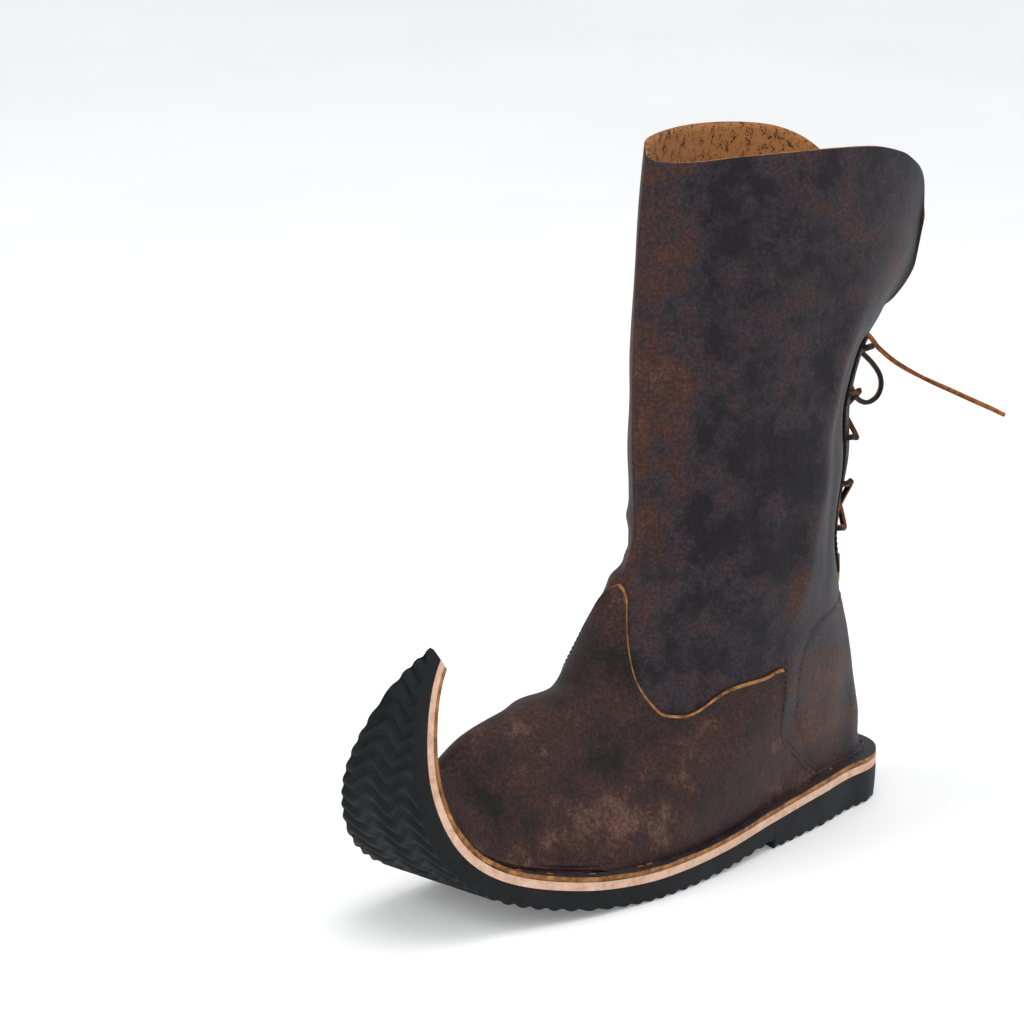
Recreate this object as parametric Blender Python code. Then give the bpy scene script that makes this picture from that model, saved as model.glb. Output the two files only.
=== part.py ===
"""A left boot with a turned-up pointed toe, laced behind, toe towards -Y and lateral side towards +X.

The sole layers and the lower edge of the upper share one function, on_sole. The upper, its overlays and
its facings share another, skin. Each table row is one section, with its lengths as shares of a named size.
"""

import math

import bmesh
import bpy
import numpy as np
from mathutils import Vector

# Sizes of the sole, in metres
SOLE_RUN = 0.443        # the outsole's underside, unrolled from the heel to the toe point
BALL_WIDTH = 0.0965     # the sole across the ball
HEEL_ROUND = 0.0345     # radius of the round end of the heel
CURL_START = 0.206      # run at which the underside leaves the floor
OUTSOLE = 0.0100
OUTSOLE_TIP = 0.0080
HEEL_LENGTH = 0.115
HEEL_RISE = 0.0070
SEAT_END = 0.055        # the foot bed is level up to here, and slopes down to WAIST_END
WAIST_END = 0.190
MIDSOLE = 0.004
INSOLE = 0.0025
INSOLE_FIT = 0.0038     # room between the insole and the upper
SIDE_DRAFT = 0.0012     # how far the rubber's side leans in at the bottom
FIT = 0.0003            # gap between two pieces that touch
OVERLAY_FIT = 0.0006    # the same between the upper and an overlay, whose facets differ

# Sizes of the leather parts
FOOT_LENGTH = 0.338
BOOT_HEIGHT = 0.347
LEATHER = 0.0022
OVERLAY = 0.0018
COUNTER_WALL = 0.0012
FLANGE = 0.0085         # leather turned outward on the midsole
TOE_RUN = 0.383         # run at which the vamp closes against the turned-up toe
TOE_ROUND = 0.050
INSOLE_RUN = 0.321
FACING_WIDTH = 0.013
SEAM_WIDTH = 0.005
LACE = 0.0026
HOLE = 0.0046
HOLE_PITCH = 0.0235
FIRST_HOLE = 0.1405     # height of the lowest pair of lace holes
HOLE_INSET = 0.007
HOLES = 5

# The object's frame has its origin at the middle of its bottom
CENTRE_X = 0.0007
CENTRE_Y = -0.1665

# Sole outline. Columns: share of SOLE_RUN, half width, and how far its middle lies towards the lateral side,
# both as shares of BALL_WIDTH
OUTLINE = (
    (0.00, 0.352, -0.104),
    (0.08, 0.355, -0.094),
    (0.17, 0.363, -0.015),
    (0.26, 0.386, 0.026),
    (0.36, 0.443, 0.042),
    (0.45, 0.481, 0.038),
    (0.54, 0.493, -0.006),
    (0.63, 0.440, -0.047),
    (0.73, 0.368, -0.074),
    (0.83, 0.273, -0.061),
    (0.915, 0.153, -0.020),
    (1.00, 0.014, 0.000),
)

# Slope of the underside. Columns: share of the run past CURL_START, degrees
CURL = ((0.0, 0.0), (0.333, 17.7), (0.667, 78.9), (1.0, 143.6))

# The upper from its seam on the sole to the rim. Columns: the back point's distance in front of the heel,
# its height, the front ridge's distance and height (shares of FOOT_LENGTH and BOOT_HEIGHT), share of the
# sole's own curve kept, share of the shaft's section, swell of the foot's section, half widths
# (shares of BALL_WIDTH), half gap of the rear slit (share of BALL_WIDTH), pointedness behind and in front.
LEVELS = (
    (0.034, 0.067, 0.913, 0.190, 1.00, 0.00, 1.00, 0.310, 0.310, 0.000, 0.50, 0.50),
    (0.035, 0.098, 0.886, 0.202, 0.86, 0.00, 1.04, 0.310, 0.310, 0.000, 0.50, 0.50),
    (0.039, 0.127, 0.815, 0.243, 0.68, 0.06, 1.05, 0.370, 0.370, 0.000, 0.50, 0.50),
    (0.050, 0.161, 0.724, 0.260, 0.50, 0.20, 1.03, 0.380, 0.380, 0.000, 0.50, 0.50),
    (0.065, 0.207, 0.636, 0.271, 0.34, 0.42, 1.00, 0.385, 0.385, 0.000, 0.50, 0.52),
    (0.078, 0.259, 0.605, 0.308, 0.20, 0.66, 1.00, 0.385, 0.385, 0.000, 0.56, 0.56),
    (0.087, 0.317, 0.575, 0.366, 0.08, 0.88, 1.00, 0.392, 0.392, 0.000, 0.76, 0.62),
    (0.087, 0.378, 0.531, 0.421, 0.00, 1.00, 1.00, 0.406, 0.406, 0.000, 1.10, 0.68),
    (0.090, 0.442, 0.516, 0.478, 0.00, 1.00, 1.00, 0.420, 0.420, 0.035, 1.34, 0.74),
    (0.082, 0.513, 0.520, 0.542, 0.00, 1.00, 1.00, 0.432, 0.432, 0.062, 1.42, 0.80),
    (0.089, 0.585, 0.523, 0.607, 0.00, 1.00, 1.00, 0.440, 0.440, 0.083, 1.42, 0.82),
    (0.074, 0.663, 0.523, 0.676, 0.00, 1.00, 1.00, 0.448, 0.448, 0.114, 1.34, 0.82),
    (0.038, 0.728, 0.521, 0.757, 0.00, 1.00, 1.00, 0.452, 0.452, 0.165, 1.15, 0.82),
    (-0.013, 0.862, 0.515, 0.868, 0.00, 1.00, 1.00, 0.458, 0.458, 0.215, 1.00, 0.84),
    (-0.012, 1.000, 0.500, 1.000, 0.00, 1.00, 1.00, 0.460, 0.460, 0.265, 0.90, 0.86),
)
SLIT_LEVEL = 7
RIM_LEVEL = len(LEVELS) - 1
DROP_FROM = 12          # the rim's drop starts at this level

# Rim. Columns: share of the way from the rear edge to the front ridge, drop as a share of BOOT_HEIGHT
RIM = (
    (0.000, 0.156),
    (0.006, 0.124),
    (0.034, 0.092),
    (0.086, 0.065),
    (0.150, 0.046),
    (0.220, 0.032),
    (0.370, 0.022),
    (0.550, 0.012),
    (0.790, 0.000),
    (0.930, 0.000),
    (1.000, 0.012),
)

# Edge of the vamp. Columns: share of the way from back to ridge, level
VAMP_EDGE = (
    (0.165, 0.62),
    (0.210, 1.30),
    (0.290, 2.35),
    (0.370, 3.25),
    (0.415, 4.05),
    (0.435, 4.95),
    (0.460, 5.02),
    (0.515, 4.93),
    (0.585, 4.88),
    (0.635, 4.80),
    (0.667, 4.65),
    (0.705, 4.38),
    (0.740, 4.26),
    (0.780, 4.26),
    (0.844, 4.49),
    (0.897, 4.82),
    (0.935, 5.27),
    (0.960, 5.76),
    (0.980, 6.30),
    (1.000, 6.64),
)
VAMP_LOW = 1.0          # level of the lower edge of the vamp, just above the flange

# The counter's half, either side of the back seam. Columns: share, lowest level, highest level
COUNTER = (
    (0.000, 0.70, 5.90),
    (0.100, 0.70, 5.87),
    (0.140, 1.00, 5.83),
    (0.190, 1.85, 5.76),
    (0.250, 2.90, 5.66),
    (0.300, 3.70, 5.45),
    (0.330, 4.45, 5.10),
)

# Facing strip. Columns: level, how far it reaches from the slit's edge as a share of FACING_WIDTH
FACING = (
    (6.30, 0.30),
    (6.36, 0.62),
    (6.55, 0.90),
    (6.85, 1.00),
    (8.50, 1.00),
    (10.80, 1.00),
    (11.20, 0.92),
    (11.35, 0.60),
)

# The bow's one loop and its long end. Columns: x, y and z from the knot's middle, in millimetres
LOOP = (
    (3.6, 3.9, 1.4),
    (3.8, 7.5, -1.2),
    (3.8, 14.0, -6.6),
    (3.8, 19.2, -12.5),
    (3.8, 20.9, -18.0),
    (3.6, 19.6, -22.4),
    (3.4, 16.4, -25.0),
    (3.2, 10.7, -26.0),
    (3.0, 4.5, -23.5),
    (2.4, 0.8, -18.7),
    (1.6, -1.2, -13.5),
    (1.0, -1.2, -8.6),
    (0.6, -0.9, -5.4),
)
LONG_END = (
    (-1.35, 3.0, 3.5),
    (-0.4, 6.0, 8.0),
    (2.6, 9.8, 9.2),
    (3.6, 14.0, 5.2),
    (3.8, 18.3, 0.8),
    (3.8, 30.3, -7.6),
    (3.8, 44.6, -15.5),
    (3.8, 60.8, -23.2),
    (3.8, 77.1, -30.4),
    (3.8, 93.6, -37.8),
    (3.8, 110.3, -45.2),
    (3.8, 120.4, -50.0),
)

COLOURS = {
    "rubber": ((0.016, 0.017, 0.019), 0.72),
    "tan": ((0.64, 0.40, 0.26), 0.68),
    "brown": ((0.050, 0.028, 0.022), 0.55),
    "vamp": ((0.064, 0.034, 0.024), 0.55),
    "lace": ((0.085, 0.042, 0.022), 0.60),
}

# Smooth lines through short tables


def smooth(table_x, table_y, at):
    """A monotone cubic through the rows, read at the places asked for."""
    xs = np.asarray(table_x, float)
    ys = np.asarray(table_y, float)
    at = np.clip(np.asarray(at, float), xs[0], xs[-1])
    step = np.diff(xs)
    rise = np.diff(ys) / step
    before, after = rise[:-1], rise[1:]
    turning = before * after <= 0
    safe_before = np.where(turning, 1.0, before)
    safe_after = np.where(turning, 1.0, after)
    near, far = 2 * step[1:] + step[:-1], step[1:] + 2 * step[:-1]
    inner = np.where(turning, 0.0, (near + far) / (near / safe_before + far / safe_after))
    slope = np.concatenate([[rise[0]], inner, [rise[-1]]])
    i = np.clip(np.searchsorted(xs, at, side="right") - 1, 0, len(step) - 1)
    t = (at - xs[i]) / step[i]
    start = ys[i] * (1 + 2 * t) * (1 - t) ** 2 + slope[i] * step[i] * t * (1 - t) ** 2
    end = ys[i + 1] * t * t * (3 - 2 * t) + slope[i + 1] * step[i] * t * t * (t - 1)
    return start + end


def column(table, index):
    return [row[index] for row in table]


def read(table, index, at):
    return smooth(column(table, 0), column(table, index), at)


def round_end(share, power=2.0):
    """0 at the end of a rounded outline, 1 where the round stops."""
    share = np.clip(share, 0, 1)
    return (1 - (1 - share) ** power) ** (1 / power)


# The sole's line

RUNS = np.linspace(0, SOLE_RUN, 601)


def slope_at(run):
    share = (np.asarray(run, float) - CURL_START) / (SOLE_RUN - CURL_START)
    return np.radians(read(CURL, 1, np.clip(share, 0, 1)))


def underside():
    """Forward distance and height of the underside's line at each of RUNS."""
    slope = slope_at(RUNS)
    middle = (slope[1:] + slope[:-1]) / 2
    step = RUNS[1] - RUNS[0]
    forward = np.concatenate([[0], np.cumsum(np.cos(middle) * step)])
    height = np.concatenate([[0], np.cumsum(np.sin(middle) * step)])
    return forward, height


FORWARD, HEIGHT = underside()

# Every layer bends at these runs, so that the layers' facets stay parallel
KNOTS = np.concatenate([
    [0],
    np.linspace(SEAT_END, WAIST_END, 11),
    np.linspace(CURL_START, SOLE_RUN, 30),
])


def rubber(run):
    """Thickness from the underside's line to the outsole's top face."""
    runs = (0, SEAT_END, WAIST_END, SOLE_RUN * 0.8, SOLE_RUN)
    heel = OUTSOLE + HEEL_RISE
    return smooth(runs, (heel, heel, OUTSOLE, OUTSOLE * 0.93, OUTSOLE_TIP), run)


def on_sole(run, x, lift):
    """Points at a lift above the outsole's top face. Between two of KNOTS they lie on one flat facet."""
    slope = slope_at(KNOTS)
    depth = rubber(KNOTS) + lift
    forward = np.interp(KNOTS, RUNS, FORWARD) - np.sin(slope) * depth
    height = np.interp(KNOTS, RUNS, HEIGHT) + np.cos(slope) * depth
    return placed(x, np.interp(run, KNOTS, forward), np.interp(run, KNOTS, height))


def placed(x, forward, height):
    """World points from the distance in front of the heel and the height above the floor."""
    x, forward, height = np.broadcast_arrays(x, forward, height)
    return np.stack([x - CENTRE_X, -forward - CENTRE_Y, height], -1)


def half_width(run, inset=0.0):
    """Half width of the sole's outline, moved in by an inset, without its round ends."""
    return read(OUTLINE, 1, np.asarray(run) / SOLE_RUN) * BALL_WIDTH - inset


def middle(run):
    """How far the outline's middle lies towards the lateral side."""
    return read(OUTLINE, 2, np.asarray(run) / SOLE_RUN) * BALL_WIDTH


def heel_end(run, inset=0.0):
    return round_end((run - inset) / (HEEL_ROUND - 0.5 * inset))


# The boot's outer skin


def foot_section(share, swell):
    """Half width of the seam on the sole, at a share of the way from its back to its front."""
    run = FLANGE + share * (TOE_RUN - FLANGE)
    toe = round_end((TOE_RUN - run) / TOE_ROUND)
    return half_width(run, FLANGE) * heel_end(run, FLANGE) * toe * swell


def skin_point(level, share, side):
    """A point of the skin: level 0 is the seam on the sole, share runs from the back to the front ridge."""
    rows = np.arange(len(LEVELS))
    row = [smooth(rows, column(LEVELS, i), level) for i in range(len(LEVELS[0]))]
    back_f, back_z, ridge_f, ridge_z, carry, shaft, swell, lateral, medial, gap, behind, ahead = row
    run = FLANGE + share * (TOE_RUN - FLANGE)
    seam = on_sole(run, 0.0, FLANGE_LIFT)
    ends = on_sole(np.array([FLANGE, TOE_RUN]), 0.0, FLANGE_LIFT)
    seam_f, seam_z = -seam[..., 1] - CENTRE_Y, seam[..., 2]
    ends_f, ends_z = -ends[:, 1] - CENTRE_Y, ends[:, 2]
    sag_f = seam_f - (ends_f[0] + share * (ends_f[1] - ends_f[0]))
    sag_z = seam_z - (ends_z[0] + share * (ends_z[1] - ends_z[0]))
    first = np.clip(1 - level, 0, 1)
    back_f = mix(back_f * FOOT_LENGTH, ends_f[0], first)
    ridge_f = mix(ridge_f * FOOT_LENGTH, ends_f[1], first)
    back_z = mix(back_z * BOOT_HEIGHT, ends_z[0], first)
    ridge_z = mix(ridge_z * BOOT_HEIGHT, ends_z[1], first)
    forward = back_f + share * (ridge_f - back_f) + carry * sag_f
    height = back_z + share * (ridge_z - back_z) + carry * sag_z
    drop = np.clip((level - DROP_FROM) / (RIM_LEVEL - DROP_FROM), 0, 1)
    height = height - drop * read(RIM, 1, share) * BOOT_HEIGHT
    half = mix(medial, lateral, (1 + side) / 2) * BALL_WIDTH
    gap = gap * BALL_WIDTH
    lens = np.clip(1 - np.abs(2 * share - 1) ** 2.1, 0, 1) ** mix(behind, ahead, share)
    shaft_x = gap * (1 - share) ** 1.3 + (half - 0.4 * gap) * lens
    x = side * mix(foot_section(share, swell), shaft_x, shaft)
    return placed(x + middle(run) * (1 - shaft), forward, height)


def mix(a, b, weight):
    return a + (b - a) * weight


FLANGE_LIFT = MIDSOLE + 2 * FIT + LEATHER


def skin(level, share, side, out=0.0):
    """The skin moved outward by a distance along its normal."""
    here = skin_point(level, share, side)
    if out == 0:
        return here
    small = 0.004
    low, high = max(level - 0.05, 0), min(level + 0.05, RIM_LEVEL)
    up = skin_point(high, share, side) - skin_point(low, share, side)
    near, far = max(share - small, 0), min(share + small, 1)
    along = skin_point(level, far, side) - skin_point(level, near, side)
    if share > 1 - small:
        along = skin_point(level, 1 - small, 1) - skin_point(level, 1 - small, -1)
        along = -along * side
    if share < small and level <= SLIT_LEVEL:
        along = (skin_point(level, small, 1) - skin_point(level, small, -1)) * side
    normal = np.cross(along, up) * side
    return here - normal / np.linalg.norm(normal) * out


# Meshes


def material(name):
    found = bpy.data.materials.get(name)
    if found:
        return found
    made = bpy.data.materials.new(name)
    made.use_nodes = True
    colour, roughness = COLOURS[name]
    shader = made.node_tree.nodes["Principled BSDF"]
    shader.inputs["Base Color"].default_value = (*colour, 1)
    shader.inputs["Roughness"].default_value = roughness
    shader.inputs["Metallic"].default_value = 0
    return made


def finish(name, bm, colour):
    """Turns a bmesh into a named object."""
    bmesh.ops.recalc_face_normals(bm, faces=bm.faces)
    mesh = bpy.data.meshes.new(name)
    bm.to_mesh(mesh)
    bm.free()
    obj = bpy.data.objects.new(name, mesh)
    mesh.materials.append(material(colour))
    bpy.context.scene.collection.objects.link(obj)
    return obj


def sheet(name, columns, rows, place, colour):
    """A grid whose points are placed by a function of column and row."""
    bm = bmesh.new()
    bmesh.ops.create_grid(bm, x_segments=columns, y_segments=rows, size=0.5)
    for vert in bm.verts:
        i = round((vert.co.x + 0.5) * columns)
        j = round((vert.co.y + 0.5) * rows)
        vert.co = Vector(place(i, j))
    bmesh.ops.remove_doubles(bm, verts=bm.verts, dist=1e-6)
    return finish(name, bm, colour)


def loft(name, sections, colour):
    """A closed solid through sections with the same number of points."""
    bm = bmesh.new()
    first = [bm.verts.new(p) for p in sections[0]]
    face = bm.faces.new(first)
    for section in sections[1:]:
        face = bmesh.ops.extrude_discrete_faces(bm, faces=[face])["faces"][0]
        for vert, point in zip(face.verts, section):
            vert.co = Vector(point)
    bm.faces.new(reversed(first))
    return finish(name, bm, colour)


def solidify(obj, thickness, offset=-1.0):
    wall = obj.modifiers.new("wall", "SOLIDIFY")
    wall.thickness = thickness
    wall.offset = offset
    wall.use_quality_normals = True


def boolean(obj, other, operation):
    """A cutter, or a piece joined on, is a helper: it isn't rendered itself."""
    cut = obj.modifiers.new(other.name, "BOOLEAN")
    cut.operation = operation
    cut.object = other
    cut.solver = "EXACT"
    other.hide_render = True
    other.display_type = "WIRE"


def through(points, spacing):
    """Points at an even spacing along a smooth curve through the route's own points."""
    points = np.array(points, float)
    before = np.vstack([2 * points[0] - points[1], points[:-1]])
    after = np.vstack([points[1:], 2 * points[-1] - points[-2]])
    slope = (after - before) / 2
    line = []
    for i in range(len(points) - 1):
        for t in np.linspace(0, 1, 25)[:-1]:
            start = points[i] * (1 + 2 * t) * (1 - t) ** 2 + slope[i] * t * (1 - t) ** 2
            end = points[i + 1] * t * t * (3 - 2 * t) + slope[i + 1] * t * t * (t - 1)
            line.append(start + end)
    line = np.array(line + [points[-1]])
    length = np.concatenate([[0], np.cumsum(np.linalg.norm(np.diff(line, axis=0), axis=1))])
    even = np.linspace(0, length[-1], max(2, round(length[-1] / spacing) + 1))
    return np.stack([np.interp(even, length, line[:, k]) for k in range(3)], -1)


def tube(name, route, spacing=0.0028, roundness=2):
    """A lace as a curve with a round section and filled ends."""
    points = through(route, spacing)
    curve = bpy.data.curves.new(name, "CURVE")
    curve.dimensions = "3D"
    curve.bevel_depth = LACE / 2
    curve.bevel_resolution = roundness
    curve.use_fill_caps = True
    spline = curve.splines.new("POLY")
    spline.points.add(len(points) - 1)
    for target, point in zip(spline.points, points):
        target.co = (*point, 1)
    obj = bpy.data.objects.new(name, curve)
    curve.materials.append(material("lace"))
    bpy.context.scene.collection.objects.link(obj)
    return obj


def tube_mesh(name, route):
    """A coarser lace as a mesh, which a Boolean can join to another."""
    source = tube(name + "_line", route, spacing=0.0041, roundness=1)
    bpy.context.view_layer.update()
    mesh = bpy.data.meshes.new_from_object(source)
    bpy.data.objects.remove(source)
    bm = bmesh.new()
    bm.from_mesh(mesh)
    bmesh.ops.remove_doubles(bm, verts=bm.verts, dist=1e-6)
    return finish(name, bm, "lace")


# The sole layers


def stations(start, end, front_round):
    """Runs of the sections: every knot, and more of them in the round ends."""
    heel = [start + HEEL_ROUND * (1 - math.cos(a)) for a in np.radians((8, 22, 36, 50, 64, 78, 90))]
    tip = [end - front_round * (1 - math.cos(a)) for a in np.radians((8, 25, 42, 58, 74, 90))]
    last = tip[0] if front_round else end
    step = [HEEL_LENGTH, HEEL_LENGTH + 0.0015, WAIST_END + 0.02]
    runs = heel + [k for k in KNOTS if heel[-1] < k < last] + step + (tip if front_round else [end])
    return sorted(run for run in set(runs) if run <= last)


def outline_at(run, inset, end, front_round):
    front = round_end((end - run) / front_round) if front_round else 1.0
    return float(half_width(run, inset) * heel_end(run, inset) * front)


def slab(name, low, high, colour, inset=0.0, end=SOLE_RUN, front_round=0.0, draft=0.0):
    """A layer of the sole between two lifts, which may be functions of the run."""
    sections = []
    for run in stations(inset, end, front_round):
        half = outline_at(run, inset, end, front_round)
        bottom = low(run) if callable(low) else low
        lean = min(draft, 0.5 * half)
        centre = middle(run)
        sections.append([
            on_sole(run, centre + half, high),
            on_sole(run, centre + half - lean, bottom),
            on_sole(run, centre - half + lean, bottom),
            on_sole(run, centre - half, high),
        ])
    return loft(name, sections, colour)


def outsole_bottom(run):
    """The heel block reaches the floor, and the sole's own thickness follows the waist."""
    if run <= HEEL_LENGTH:
        return -float(rubber(run))
    return -float(min(OUTSOLE, rubber(run)))


def build_sole():
    slab("outsole", outsole_bottom, 0.0, "rubber", draft=SIDE_DRAFT)
    slab("midsole", FIT, FIT + MIDSOLE, "tan")
    inset = FLANGE + LEATHER + INSOLE_FIT
    low = 2 * FIT + MIDSOLE
    slab("insole", low, low + INSOLE, "tan", inset=inset, end=INSOLE_RUN, front_round=0.030)


# The upper

SIDES = 20


def share_of(step):
    return (1 - math.cos(math.pi * step / SIDES)) / 2


LEVEL_ROWS = (
    0.35, 0.7, 1, 1.5, 2, 2.5, 3, 3.5, 4, 4.5, 5, 5.5, 6, 6.5, 7, 7.5, 8, 9, 10, 11, 12, 12.5, 13, 13.5, 14,
)
FLANGE_ROWS = (1.0, 0.83, 0.66, 0.48, 0.3, 0.14, 0.0)
FLANGE_FRONT = 0.75     # share from which the flange fans out over the turned-up toe
FLANGE_BACK = 0.10


def flange_point(outward, share, side):
    """A point of the flange's top face: outward is 0 at the seam and 1 at the sole's edge."""
    run = FLANGE + share * (TOE_RUN - FLANGE)
    front = np.clip((share - FLANGE_FRONT) / (1 - FLANGE_FRONT), 0, 1) ** 1.2
    back = np.clip(1 - share / FLANGE_BACK, 0, 1) ** 2
    edge_run = run + front * (SOLE_RUN - TOE_RUN) - back * FLANGE
    edge = half_width(edge_run) * heel_end(edge_run)
    if share >= 1:
        edge = 0.0
    x = mix(middle(run) + side * foot_section(share, 1.0), middle(edge_run) + side * edge, outward)
    return on_sole(mix(run, edge_run, outward), x, FLANGE_LIFT)


def build_upper():
    """One sheet from the sole's edge inward along the flange, then up the foot and the shaft to the rim."""
    def place(i, j):
        side = 1 if i <= SIDES else -1
        share = share_of(i if i <= SIDES else 2 * SIDES - i)
        if j < len(FLANGE_ROWS):
            return flange_point(FLANGE_ROWS[j], share, side)
        return skin(LEVEL_ROWS[j - len(FLANGE_ROWS)], share, side)

    upper = sheet("upper", 2 * SIDES, len(FLANGE_ROWS) + len(LEVEL_ROWS) - 1, place, "brown")
    solidify(upper, LEATHER)
    return upper


def patch(name, columns, rows, share_level, out, thickness, colour):
    """An overlay: a grid in share and level, at a distance outside the skin, as thick as its leather."""
    def place(i, j):
        side, share, level = share_level(i, j)
        return skin(level, share, side, out + thickness)

    obj = sheet(name, columns, rows, place, colour)
    solidify(obj, thickness)
    return obj


def share_at(level, side, distance):
    """The share at a distance along the skin from its back edge."""
    shares = 0.3 * np.linspace(0, 1, 240) ** 2
    line = skin_point(np.full(240, float(level)), shares, side)
    length = np.concatenate([[0], np.cumsum(np.linalg.norm(np.diff(line, axis=0), axis=1))])
    return float(np.interp(distance, length, shares))


def build_vamp():
    """From the rear edge of one side, over the toe, to the rear edge of the other, on the upper's own grid."""
    back, top = VAMP_EDGE[0][0], VAMP_EDGE[-1][1]
    steps = [back] + [share_of(i) for i in range(SIDES + 1) if share_of(i) > back + 0.01]
    levels = [VAMP_LOW] + [level for level in LEVEL_ROWS if VAMP_LOW < level < top] + [top]
    count = len(steps) - 1

    def share_level(i, j):
        share = steps[i if i <= count else 2 * count - i]
        edge = max(float(read(VAMP_EDGE, 1, share)), VAMP_LOW + 0.05)
        return 1 if i <= count else -1, share, min(levels[j], edge)

    patch("vamp", 2 * count, len(levels) - 1, share_level, OVERLAY_FIT, OVERLAY, "vamp")


def build_counter():
    front, low, high = COUNTER[-1][0], COUNTER[0][1], COUNTER[0][2]
    shares = [share_of(i) for i in range(SIDES) if share_of(i) < front - 0.01] + [front]
    levels = [low] + [level for level in LEVEL_ROWS if low < level < high] + [high]
    for side, name in ((1, "counter_lateral"), (-1, "counter_medial")):
        def share_level(i, j, side=side):
            low, high = float(read(COUNTER, 1, shares[i])), float(read(COUNTER, 2, shares[i]))
            level = min(max(levels[j], low), high)
            if i == 0:
                return side, share_at(level, side, SEAM_WIDTH / 2 + 2 * FIT), level
            return side, shares[i], level

        patch(name, len(shares) - 1, len(levels) - 1, share_level, OVERLAY_FIT, COUNTER_WALL, "brown")


def build_back_seam():
    """The raised seam from the flange up to the slit."""
    levels = np.linspace(COUNTER[0][1], SLIT_LEVEL - 0.25, 15)

    def share_level(i, j):
        side = 1 if i <= 2 else -1
        level = float(levels[j])
        return side, share_at(level, side, abs(i - 2) / 2 * SEAM_WIDTH / 2), level

    patch("back_seam", 4, len(levels) - 1, share_level, 2 * OVERLAY_FIT, OVERLAY, "brown")


def hole_level(number):
    """Level at which the slit's edge has the height of a pair of holes."""
    levels = np.linspace(SLIT_LEVEL, DROP_FROM, 200)
    heights = skin_point(levels, np.zeros(200), 1)[:, 2]
    return float(np.interp(FIRST_HOLE + number * HOLE_PITCH, heights, levels))


def hole_place(number, side):
    """The middle of a lace hole on the skin, and the direction outward."""
    level = hole_level(number)
    share = share_at(level, side, HOLE_INSET)
    here = skin(level, share, side)
    out = skin(level, share, side, 0.01) - here
    return here, out / np.linalg.norm(out)


def build_facings(upper):
    for side, name in ((1, "facing_lateral"), (-1, "facing_medial")):
        levels = sorted({row[0] for row in FACING} | set(np.arange(7.5, 11.2, 0.7).round(2)))

        def share_level(i, j, side=side, levels=levels):
            level = float(levels[j])
            start = 0.0004 if level > SLIT_LEVEL else SEAM_WIDTH / 2 + 3 * FIT
            reach = max(float(read(FACING, 1, level)) * FACING_WIDTH, start + 0.0012)
            return side, share_at(level, side, mix(start, reach, i / 4)), level

        facing = patch(name, 4, len(levels) - 1, share_level, FIT, COUNTER_WALL, "brown")
        for number in range(HOLES):
            here, out = hole_place(number, side)
            bm = bmesh.new()
            turn = Vector(out).to_track_quat("Z", "Y").to_matrix().to_4x4()
            turn.translation = Vector(here)
            bmesh.ops.create_cone(bm, cap_ends=True, segments=8, radius1=HOLE / 2, radius2=HOLE / 2,
                                  depth=0.012, matrix=turn)
            cutter = finish(f"{name}_hole_{number}", bm, "brown")
            boolean(upper, cutter, "DIFFERENCE")
            boolean(facing, cutter, "DIFFERENCE")


# The lace

LACE_GAP = 0.0004       # between the lace and the leather under it
KNOT_STEP = (0.0, 0.0034, -0.0080)     # from the middle between the top pair's edges to the knot
KNOT_RADIUS = (0.0045, 0.0036, 0.0038)


def hole_end(number, side, inside):
    """Route out of a hole: from the middle of the leather, round the hole's rim and on towards the slit."""
    here, out = hole_place(number, side)
    edge = skin(hole_level(number), 0.0, side)
    toward = edge - here
    toward = toward - out * np.dot(toward, out)
    toward = toward / np.linalg.norm(toward)
    if inside:
        depth = LEATHER + LACE_GAP + LACE / 2
        steps = ((0, 0.0008), (0, 0.60 * depth), (0.3 * LACE, 0.97 * depth), (1.1 * LACE, 1.15 * depth))
        return [here + toward * a - out * b for a, b in steps]
    depth = OVERLAY_FIT + COUNTER_WALL + LACE_GAP + LACE / 2
    steps = ((0, 0.0), (0, 0.66 * depth), (0.3 * LACE, 1.05 * depth), (1.1 * LACE, 1.2 * depth))
    route = [here + toward * a + out * b for a, b in steps]
    return route + [edge + out * (1.25 * depth)]


def crossing(name, low, inside):
    """Two laces that cross between two pairs of holes, joined where they meet."""
    routes = []
    for side in (1, -1):
        start = hole_end(low, side, inside)
        end = hole_end(low + 1, -side, inside)
        routes.append(start + end[::-1])
    first = tube_mesh(name, routes[0])
    second = tube_mesh(name + "_other", routes[1])
    boolean(first, second, "UNION")


def build_lace():
    tube_mesh("lace_bar", hole_end(0, 1, True) + hole_end(0, -1, True)[::-1])
    crossing("lace_cross_1", 0, False)
    crossing("lace_cross_2", 1, True)
    crossing("lace_cross_3", 2, False)
    crossing("lace_cross_4", 3, True)
    top = HOLES - 1
    edges = [skin(hole_level(top), 0.0, side) for side in (1, -1)]
    place = (edges[0] + edges[1]) / 2 + np.array(KNOT_STEP)
    knot = tube_mesh("lace_knot", hole_end(top, 1, False) + [place] + hole_end(top, -1, False)[::-1])
    bm = bmesh.new()
    bmesh.ops.create_icosphere(bm, subdivisions=2, radius=1)
    bmesh.ops.scale(bm, vec=KNOT_RADIUS, verts=bm.verts)
    bmesh.ops.translate(bm, vec=Vector(place), verts=bm.verts)
    boolean(knot, finish("lace_knot_middle", bm, "lace"), "UNION")
    tube("lace_loop", [place + np.array(step) / 1000 for step in LOOP])
    tube("lace_end", [place + np.array(step) / 1000 for step in LONG_END], spacing=0.0065)


def main():
    for obj in list(bpy.data.objects):
        bpy.data.objects.remove(obj)
    build_sole()
    upper = build_upper()
    build_vamp()
    build_counter()
    build_back_seam()
    build_facings(upper)
    build_lace()


main()
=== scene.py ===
"""Dresses a left boot with a turned-up pointed toe: waxed leather, thread, thong lace and rubber tread."""

from __future__ import annotations

import logging
import math
from dataclasses import dataclass
from enum import Enum
from typing import Callable, Sequence

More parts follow.
